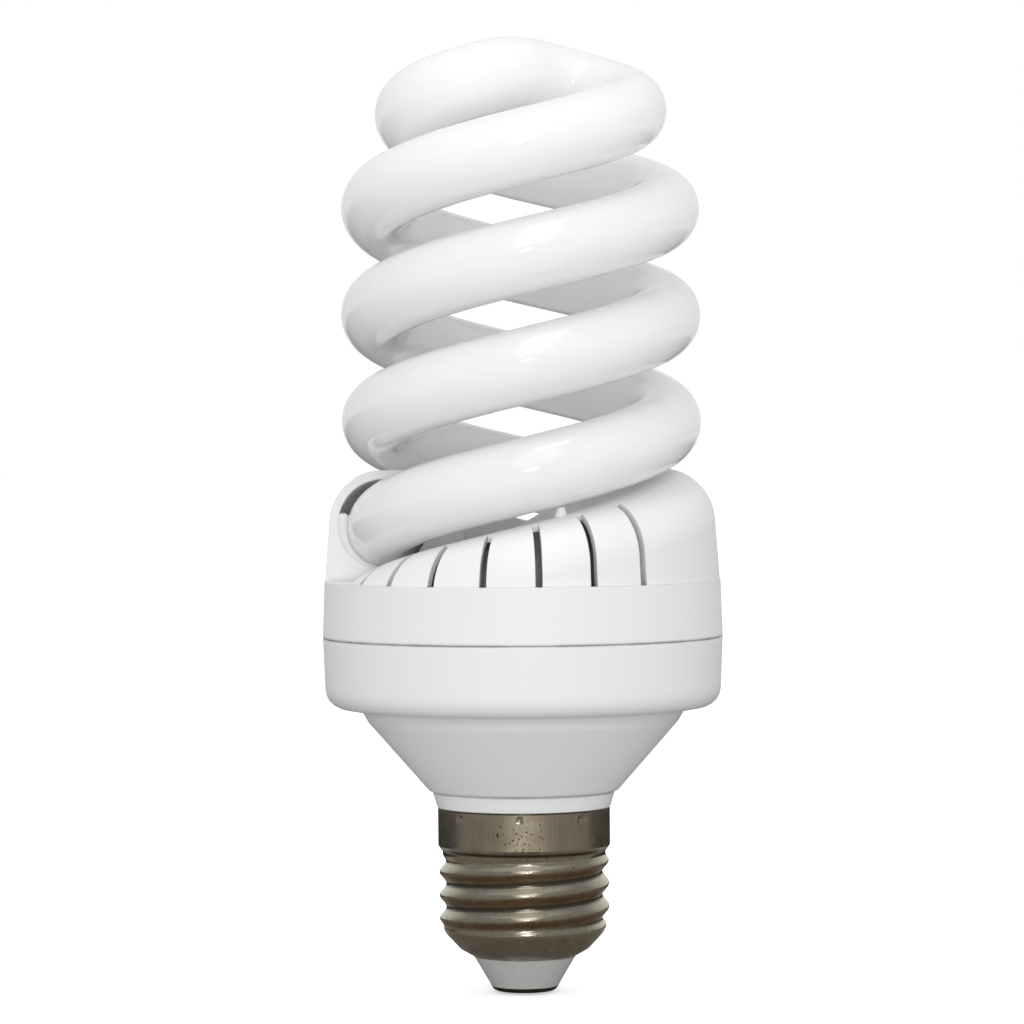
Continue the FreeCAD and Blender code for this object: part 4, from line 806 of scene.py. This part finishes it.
def table_white():
    """Matt pale table: bright to the camera, darker in the light and images that it sends on."""
    material, tree, shader = new_material("pale_table")
    path = add(tree, "ShaderNodeLightPath", {}, {})
    seen = path.outputs["Is Camera Ray"]
    place = add(tree, "ShaderNodeTexCoord", {}, {}).outputs["Object"]
    away = add(tree, "ShaderNodeVectorMath", {"operation": "LENGTH"}, {0: place}).outputs["Value"]
    near = add(tree, "ShaderNodeMapRange", {}, {
        0: away, 1: PALE_NEAR, 2: DARK_FROM, 3: 0.5, 4: 0.03})
    far = add(tree, "ShaderNodeMapRange", {}, {
        0: away, 1: DARK_TO, 2: PALE_FAR, 3: 0.0, 4: 0.85})
    mirrored = add(tree, "ShaderNodeMix", {"data_type": "RGBA"}, {
        0: maths(tree, "MAXIMUM", near.outputs[0], far.outputs[0]),
        6: (0, 0, 0, 1), 7: (1, 0.97, 0.92, 1)})
    sent = add(tree, "ShaderNodeMix", {"data_type": "RGBA"}, {
        0: path.outputs["Is Glossy Ray"], 6: (0.45, 0.45, 0.45, 1), 7: mirrored.outputs[2]})
    shade = add(tree, "ShaderNodeMix", {"data_type": "RGBA"}, {
        0: seen, 6: sent.outputs[2], 7: (0.85, 0.85, 0.85, 1)})
    feed(tree, shader, {
        "Base Color": shade.outputs[2], "Roughness": 1.0, "Specular IOR Level": 0.0,
        "Emission Color": (1, 1, 1, 1), "Emission Strength": maths(tree, "MULTIPLY", seen, 0.5)})
    return material


def matt(name, colour):
    """Matt paper of one colour."""
    material, tree, shader = new_material(name)
    feed(tree, shader, {"Base Color": colour, "Roughness": 1.0, "Specular IOR Level": 0.0})
    return material


sheet("table_top", 12, 12, (0, 0, -0.3 * MM), table_white())
front_sheet = sheet("front_sheet", 0.16, 0.34, (0, -0.26, -0.2 * MM),
                    matt("white_paper", (0.68, 0.65, 0.59, 1)))
only_in_reflections(front_sheet)
wide_sheet = sheet("wide_sheet", 0.8, 0.5, (0, -0.22, -0.25 * MM),
                   matt("grey_paper", (0.22, 0.2, 0.18, 1)))
only_in_reflections(wide_sheet)
print("table and sheets in place")

# %% [markdown]
# ## The light
# A small lamp above the camera gives each turn of the tube its one sharp highlight. A soft lamp
# high up lights the top sides. A larger lamp just behind the camera, which reflections don't see,
# fills the front as the light of a flash does. A grey card round the small lamp shows up in the
# glass as a soft, faintly darker patch with the highlight in it. A tall pale card high in front,
# which only reflections see, gives the turns of the screw their bright middles.

# %% Lamps and cards
def aimed(place, target):
    """Rotation that points the back of an object at a target."""
    aim = np.array(target) - np.array(place)
    tilt = math.atan2(np.hypot(aim[0], aim[1]), -aim[2])
    return (tilt, 0, math.atan2(aim[1], aim[0]) - math.pi / 2)


def area(name, size, power, place, target):
    """Soft square lamp that looks at a point."""
    data = bpy.data.lights.new(name, "AREA")
    data.size = size
    data.energy = power
    light = bpy.data.objects.new(name, data)
    light.location = place
    light.rotation_euler = aimed(place, target)
    scene.collection.objects.link(light)
    return light


def glowing(name, strength):
    """Plain white surface that gives off light of its own."""
    material, tree, shader = new_material(name)
    feed(tree, shader, {
        "Base Color": (0, 0, 0, 1), "Roughness": 1.0, "Specular IOR Level": 0.0,
        "Emission Color": (1, 1, 1, 1), "Emission Strength": strength})
    return material


KEY_PLACE = (0.025, -0.80, 0.30)
OVERHEAD_PLACE = (0.0, -0.2, 1.0)
FLASH_PLACE = (0.01, -0.78, 0.09)
GREY_CARD_PLACE = (0.025, -0.84, 0.31)
TALL_CARD_PLACE = (0.01, -0.431, 0.567)
LAMP_MIDDLE = (0, 0, 0.09)
SCREW_MIDDLE = (0, 0, 0.015)
area("key", 0.07, 0.8, KEY_PLACE, LAMP_MIDDLE)
area("overhead", 0.25, 0.85, OVERHEAD_PLACE, LAMP_MIDDLE)
flash = area("flash", 0.15, 1.22, FLASH_PLACE, LAMP_MIDDLE)
flash.visible_glossy = False
grey_card = sheet("grey_card", 0.55, 0.22, GREY_CARD_PLACE,
                  matt("grey_card", (0.05, 0.05, 0.05, 1)))
grey_card.rotation_euler = aimed(grey_card.location, LAMP_MIDDLE)
only_in_reflections(grey_card)
tall_card = sheet("tall_card", 0.28, 0.5, TALL_CARD_PLACE, glowing("window_white", 1.6))
tall_card.rotation_euler = aimed(tall_card.location, SCREW_MIDDLE)
only_in_reflections(tall_card)
print("lamps at", KEY_PLACE, OVERHEAD_PLACE, FLASH_PLACE)

# %% [markdown]
# ## The white surroundings
# The space round the lamp is plain white to the camera and a little dimmer to matt surfaces. In
# reflections it is pale behind the lamp, so that the glass has no dark rim, and grey elsewhere, so
# that the metal has depth.

# %% World
MATT_LEVEL = 0.9
SIDE_GREY = 0.25
BACK_PALE = 0.8
world = bpy.data.worlds.new("white_surroundings")
world.use_nodes = True
scene.world = world
world_tree = world.node_tree
path = add(world_tree, "ShaderNodeLightPath", {}, {})
sharp = maths(world_tree, "MAXIMUM", path.outputs["Is Camera Ray"],
              path.outputs["Is Transmission Ray"])
toward = add(world_tree, "ShaderNodeTexCoord", {}, {}).outputs["Generated"]
behind = add(world_tree, "ShaderNodeSeparateXYZ", {}, {0: toward}).outputs["Y"]
mirrored = add(world_tree, "ShaderNodeMapRange", {}, {
    0: behind, 1: 0.3, 2: 0.95, 3: SIDE_GREY, 4: BACK_PALE})
matt_or_glossy = add(world_tree, "ShaderNodeMix", {"data_type": "FLOAT"}, {
    0: path.outputs["Is Glossy Ray"], 2: MATT_LEVEL, 3: mirrored.outputs[0]})
level = maths(world_tree, "MAXIMUM", sharp, matt_or_glossy.outputs[0])
feed(world_tree, world_tree.nodes["Background"], {"Color": (1, 1, 1, 1), "Strength": level})
print("world", world.name)

# %% [markdown]
# ## The camera
# The camera stands about two thirds of a metre away at the height of the coil. It looks a little
# down, so that the rims of the housing show as shallow curves. It also looks a little to the left
# and leans by 0.4 degrees, as in the photo.

# %% Camera
FOCAL_PIXELS = 4207
FRAME_PIXELS = 1024
SENSOR_MM = 36
LEFT_PIXELS = 10
DOWN_PIXELS = 90
LEAN_DEGREES = -0.38
CAMERA_PLACE = (0, -0.650, 0.08791)
camera_data = bpy.data.cameras.new("photo_camera")
camera_data.lens = FOCAL_PIXELS * SENSOR_MM / FRAME_PIXELS
camera_data.sensor_width = SENSOR_MM
camera_data.clip_start = 0.01
camera = bpy.data.objects.new("photo_camera", camera_data)
aim_left = Matrix.Rotation(math.atan(LEFT_PIXELS / FOCAL_PIXELS), 4, "Z")
aim_down = Matrix.Rotation(math.pi / 2 - math.atan(DOWN_PIXELS / FOCAL_PIXELS), 4, "X")
lean = Matrix.Rotation(math.radians(LEAN_DEGREES), 4, "Z")
camera.matrix_world = Matrix.Translation(CAMERA_PLACE) @ aim_left @ aim_down @ lean
scene.collection.objects.link(camera)
scene.camera = camera
scene.view_settings.view_transform = "Standard"
print("lens", round(camera_data.lens, 1), "mm")
